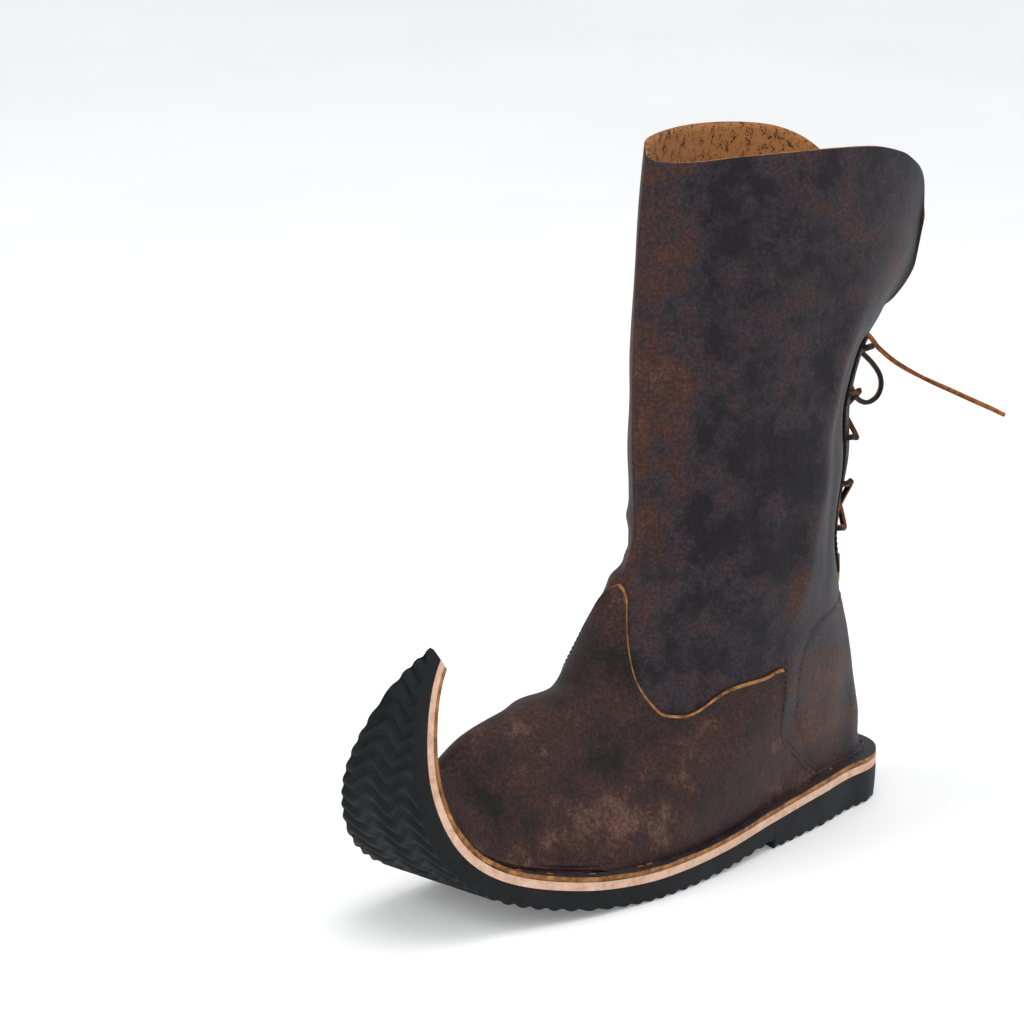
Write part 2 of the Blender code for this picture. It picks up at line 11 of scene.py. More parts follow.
import bmesh
import bpy
import numpy as np
from mathutils import Matrix, Vector

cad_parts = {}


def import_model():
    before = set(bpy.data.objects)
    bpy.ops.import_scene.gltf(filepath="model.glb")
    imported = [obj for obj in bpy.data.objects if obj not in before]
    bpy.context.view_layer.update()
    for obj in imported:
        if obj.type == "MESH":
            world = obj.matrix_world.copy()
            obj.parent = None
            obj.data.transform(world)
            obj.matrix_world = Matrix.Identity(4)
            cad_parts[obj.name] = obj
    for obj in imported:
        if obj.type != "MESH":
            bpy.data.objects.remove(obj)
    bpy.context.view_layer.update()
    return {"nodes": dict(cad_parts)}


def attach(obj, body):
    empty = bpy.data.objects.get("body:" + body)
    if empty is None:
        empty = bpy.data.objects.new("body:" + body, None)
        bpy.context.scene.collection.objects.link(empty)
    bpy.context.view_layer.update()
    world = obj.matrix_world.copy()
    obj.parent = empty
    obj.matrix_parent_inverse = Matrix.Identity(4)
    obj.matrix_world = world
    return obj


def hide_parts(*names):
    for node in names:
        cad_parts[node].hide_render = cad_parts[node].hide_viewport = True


LOG = logging.getLogger("boot")
Table = tuple[tuple[float, ...], ...]

# Sizes of the sole and the leather, in metres
SOLE_RUN = 0.443
BALL_WIDTH = 0.0965
HEEL_ROUND = 0.0345
CURL_START = 0.206
OUTSOLE = 0.0100
OUTSOLE_TIP = 0.0080
HEEL_LENGTH = 0.115
HEEL_RISE = 0.0070
SEAT_END = 0.055
WAIST_END = 0.190
MIDSOLE = 0.004
FIT = 0.0003
FOOT_LENGTH = 0.338
BOOT_HEIGHT = 0.347
LEATHER = 0.0022
OVERLAY = 0.0018
FACING_WALL = 0.0012
FLANGE = 0.0085
TOE_RUN = 0.383
TOE_ROUND = 0.050
FACING_WIDTH = 0.013
SEAM_WIDTH = 0.005
THONG = 0.0026
HOLE = 0.0046
HOLE_PITCH = 0.0235
FIRST_HOLE = 0.1405
HOLE_INSET = 0.007
HOLES = 5
CENTRE_X = 0.0007
CENTRE_Y = -0.1665
FLANGE_LIFT = MIDSOLE + 2 * FIT + LEATHER
FLAP_PULL = 0.006
STIFFENER = 0.0007

# Shares at which the flange widens to the sole's edge, and levels of the skin
FLANGE_FRONT = 0.75
FLANGE_BACK = 0.10
SLIT_LEVEL = 7.0
DROP_FROM = 12.0
RIM_LEVEL = 14.0
RAW_LEVEL = 0.065
STIFFENER_TOP = (5.81, 5.92)

# Share of the run, half width and middle as shares of the ball's width
OUTLINE: Table = (
    (0.00, 0.352, -0.104), (0.08, 0.355, -0.094), (0.17, 0.363, -0.015), (0.26, 0.386, 0.026),
    (0.36, 0.443, 0.042), (0.45, 0.481, 0.038), (0.54, 0.493, -0.006), (0.63, 0.440, -0.047),
    (0.73, 0.368, -0.074), (0.83, 0.273, -0.061), (0.915, 0.153, -0.020), (1.00, 0.014, 0.000),
)
# Share of the run past the start of the curl, slope in degrees
CURL: Table = ((0.0, 0.0), (0.333, 17.7), (0.667, 78.9), (1.0, 143.6))
# One row a level, from the seam on the sole to the rim, as shares of the boot's own sizes
LEVELS: Table = (
    (0.034, 0.067, 0.913, 0.190, 1.00, 0.00, 1.00, 0.310, 0.310, 0.000, 0.50, 0.50),
    (0.035, 0.098, 0.886, 0.202, 0.86, 0.00, 1.04, 0.310, 0.310, 0.000, 0.50, 0.50),
    (0.039, 0.127, 0.815, 0.243, 0.68, 0.06, 1.05, 0.370, 0.370, 0.000, 0.50, 0.50),
    (0.050, 0.161, 0.724, 0.260, 0.50, 0.20, 1.03, 0.380, 0.380, 0.000, 0.50, 0.50),
    (0.065, 0.207, 0.636, 0.271, 0.34, 0.42, 1.00, 0.385, 0.385, 0.000, 0.50, 0.52),
    (0.078, 0.259, 0.605, 0.308, 0.20, 0.66, 1.00, 0.385, 0.385, 0.000, 0.56, 0.56),
    (0.087, 0.317, 0.575, 0.366, 0.08, 0.88, 1.00, 0.392, 0.392, 0.000, 0.76, 0.62),
    (0.087, 0.378, 0.531, 0.421, 0.00, 1.00, 1.00, 0.406, 0.406, 0.000, 1.10, 0.68),
    (0.090, 0.442, 0.516, 0.478, 0.00, 1.00, 1.00, 0.420, 0.420, 0.035, 1.34, 0.74),
    (0.082, 0.513, 0.520, 0.542, 0.00, 1.00, 1.00, 0.432, 0.432, 0.062, 1.42, 0.80),
    (0.089, 0.585, 0.523, 0.607, 0.00, 1.00, 1.00, 0.440, 0.440, 0.083, 1.42, 0.82),
    (0.074, 0.663, 0.523, 0.676, 0.00, 1.00, 1.00, 0.448, 0.448, 0.114, 1.34, 0.82),
    (0.038, 0.728, 0.521, 0.757, 0.00, 1.00, 1.00, 0.452, 0.452, 0.165, 1.15, 0.82),
    (-0.013, 0.862, 0.515, 0.868, 0.00, 1.00, 1.00, 0.458, 0.458, 0.215, 1.00, 0.84),
    (-0.012, 1.000, 0.500, 1.000, 0.00, 1.00, 1.00, 0.460, 0.460, 0.265, 0.90, 0.86),
)
# Share from the rear edge to the front ridge, drop of the rim as worn on the lateral and the medial side
RIM: Table = (
    (0.000, 0.156, 0.156), (0.006, 0.124, 0.118), (0.034, 0.092, 0.076), (0.086, 0.070, 0.050),
    (0.150, 0.053, 0.034), (0.220, 0.037, 0.024), (0.370, 0.0195, 0.014), (0.500, 0.0147, 0.009),
    (0.600, 0.0135, 0.006), (0.790, 0.0155, 0.002), (0.930, 0.0208, 0.000), (0.985, 0.0180, 0.003),
    (1.000, 0.0110, 0.0110),
)
# Share, level of the vamp's edge
VAMP_EDGE: Table = (
    (0.165, 0.62), (0.210, 1.30), (0.290, 2.35), (0.370, 3.25), (0.415, 4.05), (0.435, 4.95),
    (0.460, 5.02), (0.515, 4.93), (0.585, 4.88), (0.635, 4.80), (0.667, 4.65), (0.705, 4.38),
    (0.740, 4.26), (0.780, 4.26), (0.844, 4.49), (0.897, 4.82), (0.935, 5.27), (0.960, 5.76),
    (0.980, 6.30), (1.000, 6.64),
)
# Level, share of the heel stiffener's front edge
COUNTER_FRONT: Table = (
    (0.20, 0.150), (1.04, 0.176), (1.88, 0.222), (2.92, 0.283), (3.87, 0.339), (4.75, 0.356),
    (5.20, 0.340), (5.55, 0.292), (5.73, 0.230), (5.81, 0.130), (5.90, 0.020),
)
# Level, share of the facing's width
FACING: Table = (
    (6.30, 0.30), (6.36, 0.62), (6.55, 0.90), (6.85, 1.00), (8.50, 1.00), (10.80, 1.00), (11.20, 0.92),
    (11.35, 0.60),
)
# Soft dents and ridges of the worn leather: level, share, side (0 both), two reaches, height in mm
DENTS: Table = (
    (7.3, 0.955, 0, 0.50, 0.12, -2.4),
    (6.6, 0.930, 0, 0.32, 0.10, 1.8),
    (8.1, 0.930, 0, 0.30, 0.10, 1.1),
    (8.2, 0.864, 1, 0.45, 0.11, -2.0),
    (9.0, 0.800, 1, 0.40, 0.12, 1.2),
    (9.6, 0.640, 1, 0.90, 0.14, -2.0),
    (7.4, 0.661, 1, 0.55, 0.09, -2.0),
    (6.5, 0.678, 1, 0.40, 0.10, 1.3),
    (7.2, 0.949, 1, 0.30, 0.05, -1.2),
    (7.7, 0.530, 1, 0.80, 0.09, -2.0),
    (5.9, 0.560, 1, 0.50, 0.12, 1.2),
    (5.0, 0.407, 1, 0.90, 0.05, 1.2),
    (7.2, 0.424, 1, 1.20, 0.05, 1.9),
    (9.0, 0.390, 1, 1.00, 0.05, 1.9),
    (10.5, 0.339, 1, 0.90, 0.05, 1.8),
    (11.6, 0.322, 1, 0.70, 0.06, 1.5),
    (8.0, 0.270, 1, 2.00, 0.05, -1.6),
    (10.6, 0.220, 1, 1.10, 0.05, -1.3),
    (11.0, 0.470, 1, 1.10, 0.09, -2.1),
    (12.6, 0.700, 1, 0.90, 0.12, 1.6),
    (12.3, 0.880, 1, 0.60, 0.08, -1.3),
    (10.6, 0.900, 1, 0.80, 0.07, 1.2),
    (7.8, 0.500, -1, 1.10, 0.15, -2.4),
    (10.6, 0.520, -1, 1.20, 0.15, -1.8),
    (2.5, 0.900, -1, 0.30, 0.050, -3.4),
    (3.3, 0.930, -1, 0.25, 0.060, 1.8),
    (2.2, 0.830, 1, 0.45, 0.060, -1.8),
    (3.6, 0.800, 1, 0.50, 0.080, -1.5),
    (2.9, 0.660, 1, 0.60, 0.100, 1.2),
    (1.2, 0.550, 0, 0.60, 0.120, 0.8),
)
# Knot's middle, the loop and the long end, in millimetres from the knot
KNOT_STEP = (0.0, 0.0034, -0.0080)
LOOP: Table = (
    (3.6, 3.9, 1.4), (3.8, 7.5, -1.2), (3.8, 14.0, -6.6), (3.8, 19.2, -12.5), (3.8, 20.9, -18.0),
    (3.6, 19.6, -22.4), (3.4, 16.4, -25.0), (3.2, 10.7, -26.0), (3.0, 4.5, -23.5), (2.4, 0.8, -18.7),
    (1.6, -1.2, -13.5), (1.0, -1.2, -8.6), (0.6, -0.9, -5.4),
)
LONG_END: Table = (
    (-1.35, 3.0, 3.5), (-0.4, 6.0, 8.0), (2.6, 9.8, 9.2), (3.6, 14.0, 5.2), (3.8, 18.3, 0.8),
    (3.8, 30.3, -7.6), (3.8, 44.6, -15.5), (3.8, 60.8, -23.2), (3.8, 77.1, -30.4), (3.8, 93.6, -37.8),
    (3.8, 110.3, -45.2), (3.8, 120.4, -50.0),
)


# Smooth lines through the tables


def smooth(xs: Sequence[float], ys: Sequence[float], at: np.ndarray | float) -> np.ndarray:
    """Reads a monotone cubic through a table.

    Args:
        xs: Rising places.
        ys: Values there.
        at: Places asked for.

    Returns:
        The values, in the shape of at.
    """
    x, y = np.asarray(xs, float), np.asarray(ys, float)
    at = np.clip(np.asarray(at, float), x[0], x[-1])
    step = np.diff(x)
    rise = np.diff(y) / step
    before, after = rise[:-1], rise[1:]
    turning = before * after <= 0
    low, high = np.where(turning, 1.0, before), np.where(turning, 1.0, after)
    near, far = 2 * step[1:] + step[:-1], step[1:] + 2 * step[:-1]
    inner = np.where(turning, 0.0, (near + far) / (near / low + far / high))
    slope = np.concatenate([[rise[0]], inner, [rise[-1]]])
    i = np.clip(np.searchsorted(x, at, side="right") - 1, 0, len(step) - 1)
    t = (at - x[i]) / step[i]
    start = y[i] * (1 + 2 * t) * (1 - t) ** 2 + slope[i] * step[i] * t * (1 - t) ** 2
    return start + y[i + 1] * t * t * (3 - 2 * t) + slope[i + 1] * step[i] * t * t * (t - 1)


def read(table: Table, column: int, at: np.ndarray | float) -> np.ndarray:
    """Reads one column of a table whose first column rises.

    Args:
        table: Rows of numbers.
        column: The column asked for.
        at: Places asked for.

    Returns:
        The values, in the shape of at.
    """
    return smooth([row[0] for row in table], [row[column] for row in table], at)


def mix(a: np.ndarray | float, b: np.ndarray | float, weight: np.ndarray | float) -> np.ndarray:
    """Moves from a to b by a weight.

    Args:
        a: Value at a weight of 0.
        b: Value at a weight of 1.
        weight: The weight.

    Returns:
        The value between them.
    """
    return a + (b - a) * weight


def ease(x: np.ndarray | float) -> np.ndarray:
    """A smooth step from 0 to 1.

    Args:
        x: Place, 0 where the step starts and 1 where it ends.

    Returns:
        The step's height.
    """
    x = np.clip(x, 0, 1)
    return x * x * (3 - 2 * x)


def round_end(share: np.ndarray | float) -> np.ndarray:
    """0 at the end of a rounded outline, 1 where the round stops."""
    return np.sqrt(1 - (1 - np.clip(share, 0, 1)) ** 2)


class Last:
    """The shape that the sole and the leather are drawn over."""

    def __init__(self) -> None:
        """Works out the underside's line once."""
        self.runs = np.linspace(0, SOLE_RUN, 1201)
        slope = self.slope(self.runs)
        middle = (slope[1:] + slope[:-1]) / 2
        step = self.runs[1] - self.runs[0]
        self.forward = np.concatenate([[0], np.cumsum(np.cos(middle) * step)])
        self.height = np.concatenate([[0], np.cumsum(np.sin(middle) * step)])

    def slope(self, run: np.ndarray | float) -> np.ndarray:
        """Slope of the underside at a run, in radians."""
        share = (np.asarray(run, float) - CURL_START) / (SOLE_RUN - CURL_START)
        return np.radians(read(CURL, 1, np.clip(share, 0, 1)))

    def rubber(self, run: np.ndarray | float) -> np.ndarray:
        """Thickness from the underside's line to the outsole's top.

        Args:
            run: Distance along the underside.

        Returns:
            The thickness in metres.
        """
        heel = OUTSOLE + HEEL_RISE
        runs = (0, SEAT_END, WAIST_END, SOLE_RUN * 0.8, SOLE_RUN)
        return smooth(runs, (heel, heel, OUTSOLE, OUTSOLE * 0.93, OUTSOLE_TIP), run)

    def on_sole(self, run: np.ndarray, x: np.ndarray, lift: np.ndarray | float) -> np.ndarray:
        """Points at a lift above the outsole's top face.

        Args:
            run: Distance along the underside.
            x: Place across the sole, towards the lateral side.
            lift: Height above the outsole, square to it.

        Returns:
            Points with x, y, z last.
        """
        slope, depth = self.slope(run), self.rubber(run) + lift
        forward = np.interp(run, self.runs, self.forward) - np.sin(slope) * depth
        height = np.interp(run, self.runs, self.height) + np.cos(slope) * depth
        return self.placed(x, forward, height)

    @staticmethod
    def placed(x: np.ndarray, forward: np.ndarray, height: np.ndarray) -> np.ndarray:
        """Points from the distance in front of the heel and the height.

        Args:
            x: Place towards the lateral side.
            forward: Distance in front of the heel.
            height: Height above the floor.

        Returns:
            Points with x, y, z last.
        """
        x, forward, height = np.broadcast_arrays(x, forward, height)
        return np.stack([x - CENTRE_X, -forward - CENTRE_Y, height], -1)

    @staticmethod
    def half_width(run: np.ndarray, inset: float = 0.0) -> np.ndarray:
        """Half width of the outline without its round ends."""
        return read(OUTLINE, 1, np.asarray(run) / SOLE_RUN) * BALL_WIDTH - inset

    @staticmethod
    def middle(run: np.ndarray) -> np.ndarray:
        """How far the outline's middle lies towards the lateral side."""
        return read(OUTLINE, 2, np.asarray(run) / SOLE_RUN) * BALL_WIDTH

    @staticmethod
    def heel_end(run: np.ndarray, inset: float = 0.0) -> np.ndarray:
        """The round end of the heel as a factor of the width."""
        return round_end((run - inset) / (HEEL_ROUND - 0.5 * inset))

    def seam_half(self, share: np.ndarray, swell: np.ndarray | float) -> np.ndarray:
        """Half width of the upper's seam on the sole.

        Args:
            share: 0 at the heel, 1 at the toe.
            swell: Factor of the width.

        Returns:
            The half width in metres.
        """
        run = FLANGE + share * (TOE_RUN - FLANGE)
        toe = round_end((TOE_RUN - run) / TOE_ROUND)
        return self.half_width(run, FLANGE) * self.heel_end(run, FLANGE) * toe * swell

    def point(self, level: np.ndarray, share: np.ndarray, side: np.ndarray) -> np.ndarray:
        """A point of the boot's outer skin.

        Args:
            level: 0 at the seam on the sole, 14 at the rim.
            share: 0 at the back, 1 at the front ridge.
            side: 1 lateral, -1 medial.

        Returns:
            Points with x, y, z last.
        """
        level, share, side = np.broadcast_arrays(*(np.asarray(v, float) for v in (level, share, side)))
        rows = np.arange(len(LEVELS))
        row = [smooth(rows, [r[i] for r in LEVELS], level) for i in range(len(LEVELS[0]))]
        back_f, back_z, ridge_f, ridge_z, carry, shaft, swell, lateral, medial, gap, behind, ahead = row
        run = FLANGE + share * (TOE_RUN - FLANGE)
        seam = self.on_sole(run, 0.0, FLANGE_LIFT)
        ends = self.on_sole(np.array([FLANGE, TOE_RUN]), 0.0, FLANGE_LIFT)
        ends_f, ends_z = -ends[:, 1] - CENTRE_Y, ends[:, 2]
        sag_f = -seam[..., 1] - CENTRE_Y - mix(ends_f[0], ends_f[1], share)
        sag_z = seam[..., 2] - mix(ends_z[0], ends_z[1], share)
        first = np.clip(1 - level, 0, 1)
        back_f = mix(back_f * FOOT_LENGTH, ends_f[0], first)
        ridge_f = mix(ridge_f * FOOT_LENGTH, ends_f[1], first)
        back_z = mix(back_z * BOOT_HEIGHT, ends_z[0], first)
        ridge_z = mix(ridge_z * BOOT_HEIGHT, ends_z[1], first)
        forward = mix(back_f, ridge_f, share) + carry * sag_f
        height = mix(back_z, ridge_z, share) + carry * sag_z
        drop = np.clip((level - DROP_FROM) / (RIM_LEVEL - DROP_FROM), 0, 1)
        rim = mix(read(RIM, 2, share), read(RIM, 1, share), (1 + side) / 2)
        height = height - drop * rim * BOOT_HEIGHT
        pulled = FLAP_PULL * ease((level - 10.5) / 2.5) * (1 - share) ** 3
        forward = forward + pulled * (1 - side) / 2
        half = mix(medial, lateral, (1 + side) / 2) * BALL_WIDTH
        gap = gap * BALL_WIDTH
        lens = np.clip(1 - np.abs(2 * share - 1) ** 2.1, 0, 1) ** mix(behind, ahead, share)
        shaft_x = gap * (1 - share) ** 1.3 + (half - 0.4 * gap) * lens
        x = side * mix(self.seam_half(share, swell), shaft_x, shaft)
        return self.placed(x + self.middle(run) * (1 - shaft), forward, height)

    def skin(
        self, level: np.ndarray, share: np.ndarray, side: np.ndarray, out: np.ndarray | float
    ) -> np.ndarray:
        """The skin moved outward along its normal.

        Args:
            level: 0 at the seam on the sole, 14 at the rim.
            share: 0 at the back, 1 at the front ridge.
            side: 1 lateral, -1 medial.
            out: Distance outward in metres.

        Returns:
            Points with x, y, z last.
        """
        arrays = np.broadcast_arrays(*(np.asarray(v, float) for v in (level, share, side, out)))
        level, share, side, out = arrays
        small = 0.004
        up = self.point(np.minimum(level + 0.05, RIM_LEVEL), share, side)
        up = up - self.point(np.maximum(level - 0.05, 0), share, side)
        along = self.point(level, np.minimum(share + small, 1), side)
        along = along - self.point(level, np.maximum(share - small, 0), side)
        ridge = self.point(level, 1 - small, 1.0) - self.point(level, 1 - small, -1.0)
        back = self.point(level, small, 1.0) - self.point(level, small, -1.0)
        along = np.where((share > 1 - small)[..., None], -ridge * side[..., None], along)
        along = np.where(((share < small) & (level <= SLIT_LEVEL))[..., None], back * side[..., None], along)
        normal = np.cross(along, up) * side[..., None]
        normal = normal / np.maximum(np.linalg.norm(normal, axis=-1, keepdims=True), 1e-12)
        return self.point(level, share, side) - normal * out[..., None]

    def flange(
        self, outward: np.ndarray, share: np.ndarray, side: np.ndarray, lift: float = 0.0
    ) -> np.ndarray:
        """Points of the turned-out edge: outward is 0 at the seam and 1 at the sole's edge.

        Args:
            outward: 0 at the seam, 1 at the sole's edge.
            share: 0 at the back, 1 at the toe.
            side: 1 lateral, -1 medial.
            lift: Height above the flange's top.

        Returns:
            Points with x, y, z last.
        """
        run = FLANGE + share * (TOE_RUN - FLANGE)
        front = np.clip((share - FLANGE_FRONT) / (1 - FLANGE_FRONT), 0, 1) ** 1.2
        back = np.clip(1 - share / FLANGE_BACK, 0, 1) ** 2
        edge_run = run + front * (SOLE_RUN - TOE_RUN) - back * FLANGE
        edge = np.where(share >= 1, 0.0, self.half_width(edge_run) * self.heel_end(edge_run))
        near = self.middle(run) + side * self.seam_half(share, 1.0)
        x = mix(near, self.middle(edge_run) + side * edge, outward)
        return self.on_sole(mix(run, edge_run, outward), x, FLANGE_LIFT + lift)

    def share_at(self, level: float, side: float, distance: float) -> float:
        """The share at a distance along the skin from its back edge.

        Args:
            level: The level.
            side: 1 lateral, -1 medial.
            distance: Metres along the skin.

        Returns:
            The share.
        """
        shares = 0.3 * np.linspace(0, 1, 240) ** 2
        line = self.point(level, shares, side)
        length = np.concatenate([[0], np.cumsum(np.linalg.norm(np.diff(line, axis=0), axis=1))])
        return float(np.interp(distance, length, shares))

    def relief(self, level: np.ndarray, share: np.ndarray, side: np.ndarray) -> np.ndarray:
        """Height of the worn leather over the plain skin: dents, folds and the heel stiffener.

        Args:
            level: 0 at the seam on the sole, 14 at the rim.
            share: 0 at the back, 1 at the front ridge.
            side: 1 lateral, -1 medial.

        Returns:
            Heights in metres.
        """
        level, share, side = np.broadcast_arrays(*(np.asarray(v, float) for v in (level, share, side)))
        total = np.zeros(level.shape)
        for row_level, row_share, row_side, reach_level, reach_share, height in DENTS:
            near = ((level - row_level) / reach_level) ** 2 + ((share - row_share) / reach_share) ** 2
            sides = 1.0 if row_side == 0 else np.where(side == row_side, 1.0, 0.0)
            total = total + height / 1000 * np.exp(-near) * sides
        wave = np.sin(2.1 * level + 9 * share + side) * np.sin(7 * share - 0.9 * level + 2 * side)
        fade = ease(level / 2) * ease((1 - share) / 0.06) * ease((share - 0.02) / 0.08)
        crease = np.sin(11 * level + 6 * np.sin(5 * share + side)) * np.sin(17 * share + 1.7 * level)
        bend = np.exp(-((level - 6.9) / 1.5) ** 2 - ((share - 0.82) / 0.22) ** 2)
        total = total * ease((1 - share) / 0.03) + (0.0006 * wave + 0.0005 * crease * bend) * fade
        stiff = ease((read(COUNTER_FRONT, 1, level) - share) / 0.02) * ease((5.9 - level) / 0.15)
        return total + STIFFENER * stiff * ease(level / 0.5)


LAST = Last()


# Nodes and colours


def linear(code: str) -> tuple[float, float, float, float]:
    """Turns an sRGB hex colour into a linear one.

    Args:
        code: The colour as # and six hex digits.

    Returns:
        Red, green, blue and an alpha of 1.
    """
    parts = [int(code[i:i + 2], 16) / 255 for i in (1, 3, 5)]
    parts = [p / 12.92 if p <= 0.04045 else ((p + 0.055) / 1.055) ** 2.4 for p in parts]
    return (parts[0], parts[1], parts[2], 1.0)


def add(
    tree: bpy.types.NodeTree, kind: str, settings: dict | None = None, links: dict | None = None
) -> bpy.types.Node:
    """Adds a shader node.

    Args:
        tree: The material's tree.
        kind: The node's type without its ShaderNode prefix.
        settings: Properties by name, or socket values by name or number.
        links: Output sockets by the name or number of the input that they feed.

    Returns:
        The new node.
    """
    node = tree.nodes.new("ShaderNode" + kind)
    for name, value in (settings or {}).items():
        if isinstance(name, str) and hasattr(node, name):
            setattr(node, name, value)
        else:
            node.inputs[name].default_value = value
    for name, socket in (links or {}).items():
        tree.links.new(socket, node.inputs[name])
    return node


def ramp(
    tree: bpy.types.NodeTree, socket: bpy.types.NodeSocket, stops: Sequence[tuple[float, str]]
) -> bpy.types.NodeSocket:
    """A colour ramp over a value.

    Args:
        tree: The material's tree.
        socket: The value.
        stops: Places and hex colours.

    Returns:
        The colour socket.
    """
    node = add(tree, "ValToRGB", links={0: socket})
    elements = node.color_ramp.elements
    while len(elements) < len(stops):
        elements.new(0.5)
    for element, (place, code) in zip(elements, stops):
        element.position = place
        element.color = linear(code)
    return node.outputs[0]


def per_mm(size: float) -> float:
    """Noise scale whose features are about a size in millimetres."""
    return 1000.0 / size


def noise(
    tree: bpy.types.NodeTree, here: bpy.types.NodeSocket, size: float, detail: float, roughness: float = 0.5
) -> bpy.types.NodeSocket:
    """A noise over the object's own coordinates.

    Args:
        tree: The material's tree.
        here: The coordinates.
        size: Size of its features in millimetres.
        detail: Octaves.
        roughness: How strong the finer octaves are.

    Returns:
        The value's socket.
    """
    settings = {"Scale": per_mm(size), "Detail": detail, "Roughness": roughness}
    return add(tree, "TexNoise", settings, {"Vector": here}).outputs["Fac"]


def scaled(
    tree: bpy.types.NodeTree, value: bpy.types.NodeSocket, gain: float, offset: float
) -> bpy.types.NodeSocket:
    """A value times a gain plus an offset.

    Args:
        tree: The material's tree.
        value: The value's socket.
        gain: What it is multiplied by.
        offset: What is added.

    Returns:
        The result's socket.
    """
    return add(tree, "Math", {"operation": "MULTIPLY_ADD", 1: gain, 2: offset}, {0: value}).outputs[0]


class Finish:
    """A material made once and shared."""

    name = "plain"

    def get(self) -> bpy.types.Material:
        """Returns the material, making it the first time."""
        found = bpy.data.materials.get(self.name)
        if found:
            return found
        made = bpy.data.materials.new(self.name)
        made.use_nodes = True
        made.node_tree.nodes.clear()
        self.build(made.node_tree)
        return made

    def build(self, tree: bpy.types.NodeTree) -> None:
        """Fills the tree."""
        raise NotImplementedError


@dataclass(frozen=True)
class WaxedLeather(Finish):
    """Oiled and waxed cowhide: soft broad gloss, a fine pebble grain, paler where it was pulled or rubbed,
    and darker in the dents, which is painted shade.
    """

    name: str = "waxed cowhide"
    deep: str = "#1b171a"
    main: str = "#372e34"
    warm: str = "#4d3029"
    rubbed: str = "#5c3d32"
    roughness: float = 0.56
    pebble_mm: float = 1.3

    def build(self, tree: bpy.types.NodeTree) -> None:
        """Mottled colour from three sizes of noise, and grain as a bump."""
        here = add(tree, "TexCoord").outputs["Object"]
        cloud = noise(tree, here, 70, 3.0, 0.55)
        blotch = noise(tree, here, 14, 8.0, 0.72)
        speck = noise(tree, here, 1.6, 4.0, 0.7)
        # The warm attribute carries reddish wear, paler rubbed folds and painted shade darkening the dents.
        warm = add(tree, "Attribute", {"attribute_name": "warm"}).outputs["Fac"]
        shade = scaled(tree, cloud, 1.5, -0.75)
        fleck = scaled(tree, blotch, 2.4, -1.12)
        total = add(tree, "Math", {"operation": "ADD"}, {0: shade, 1: fleck})
        total = add(tree, "Math", {"operation": "ADD", "use_clamp": True}, {0: total.outputs[0], 1: warm})
        colour = ramp(tree, total.outputs[0], (
            (0.0, self.deep), (0.35, self.main), (0.75, self.warm), (1.0, self.rubbed)))
        dots = ramp(tree, speck, ((0.42, "#8a8a8a"), (0.62, "#ffffff")))
        darken = {"data_type": "RGBA", "blend_type": "MULTIPLY", 0: 0.75}
        colour = add(tree, "Mix", darken, {6: colour, 7: dots})
        cells = {"feature": "F1", "Scale": per_mm(self.pebble_mm)}
        pebble = add(tree, "TexVoronoi", cells, {"Vector": here})
        fine = noise(tree, here, 0.9, 5.0, 0.75)
        grain = add(tree, "Math", {"operation": "MULTIPLY_ADD", 1: 0.35}, {
            0: pebble.outputs["Distance"], 2: fine})
        first = add(tree, "Bump", {"Strength": 0.35, "Distance": 0.0005}, {"Height": grain.outputs[0]})
        folds = add(tree, "Bump", {"Strength": 0.40, "Distance": 0.003}, {
            "Height": blotch, "Normal": first.outputs[0]})
        rough = scaled(tree, blotch, 0.30, self.roughness - 0.15)
        shader = add(tree, "BsdfPrincipled", {
            "IOR": 1.42, "Specular IOR Level": 0.26, "Sheen Weight": 0.05, "Sheen Roughness": 0.45,
            "Sheen Tint": linear("#aab4c8")}, {
            "Base Color": colour.outputs[2], "Roughness": rough, "Normal": folds.outputs[0]})
        add(tree, "OutputMaterial", links={0: shader.outputs[0]})


@dataclass(frozen=True)
class Fibrous(Finish):
    """Cut or flesh-side leather: no grain layer, so matte and fibrous, with darker specks."""

    name: str = "cut edge"
    dark: str = "#5b3413"
    main: str = "#a8682c"
    pale: str = "#c98b48"
    roughness: float = 0.85
    fibre_mm: float = 0.8
    specks: float = 0.35

    def build(self, tree: bpy.types.NodeTree) -> None:
        """Short fibres from fine noise and specks from a coarser one."""
        here = add(tree, "TexCoord").outputs["Object"]
        fibre = noise(tree, here, self.fibre_mm, 6.0, 0.75)
        patch = noise(tree, here, 5.0, 6.0, 0.7)
        both = add(tree, "Math", {"operation": "MULTIPLY_ADD", 1: self.specks}, {0: fibre, 2: patch})
        level = 0.5 + 0.5 * self.specks
        colour = ramp(tree, both.outputs[0], (
            (level - 0.17, self.dark), (level, self.main), (level + 0.17, self.pale)))
        bump = add(tree, "Bump", {"Strength": 0.6, "Distance": 0.0004}, {"Height": fibre})
        surface = {"IOR": 1.45, "Specular IOR Level": 0.3, "Roughness": self.roughness}
        shader = add(tree, "BsdfPrincipled", surface, {"Base Color": colour, "Normal": bump.outputs[0]})
        add(tree, "OutputMaterial", links={0: shader.outputs[0]})


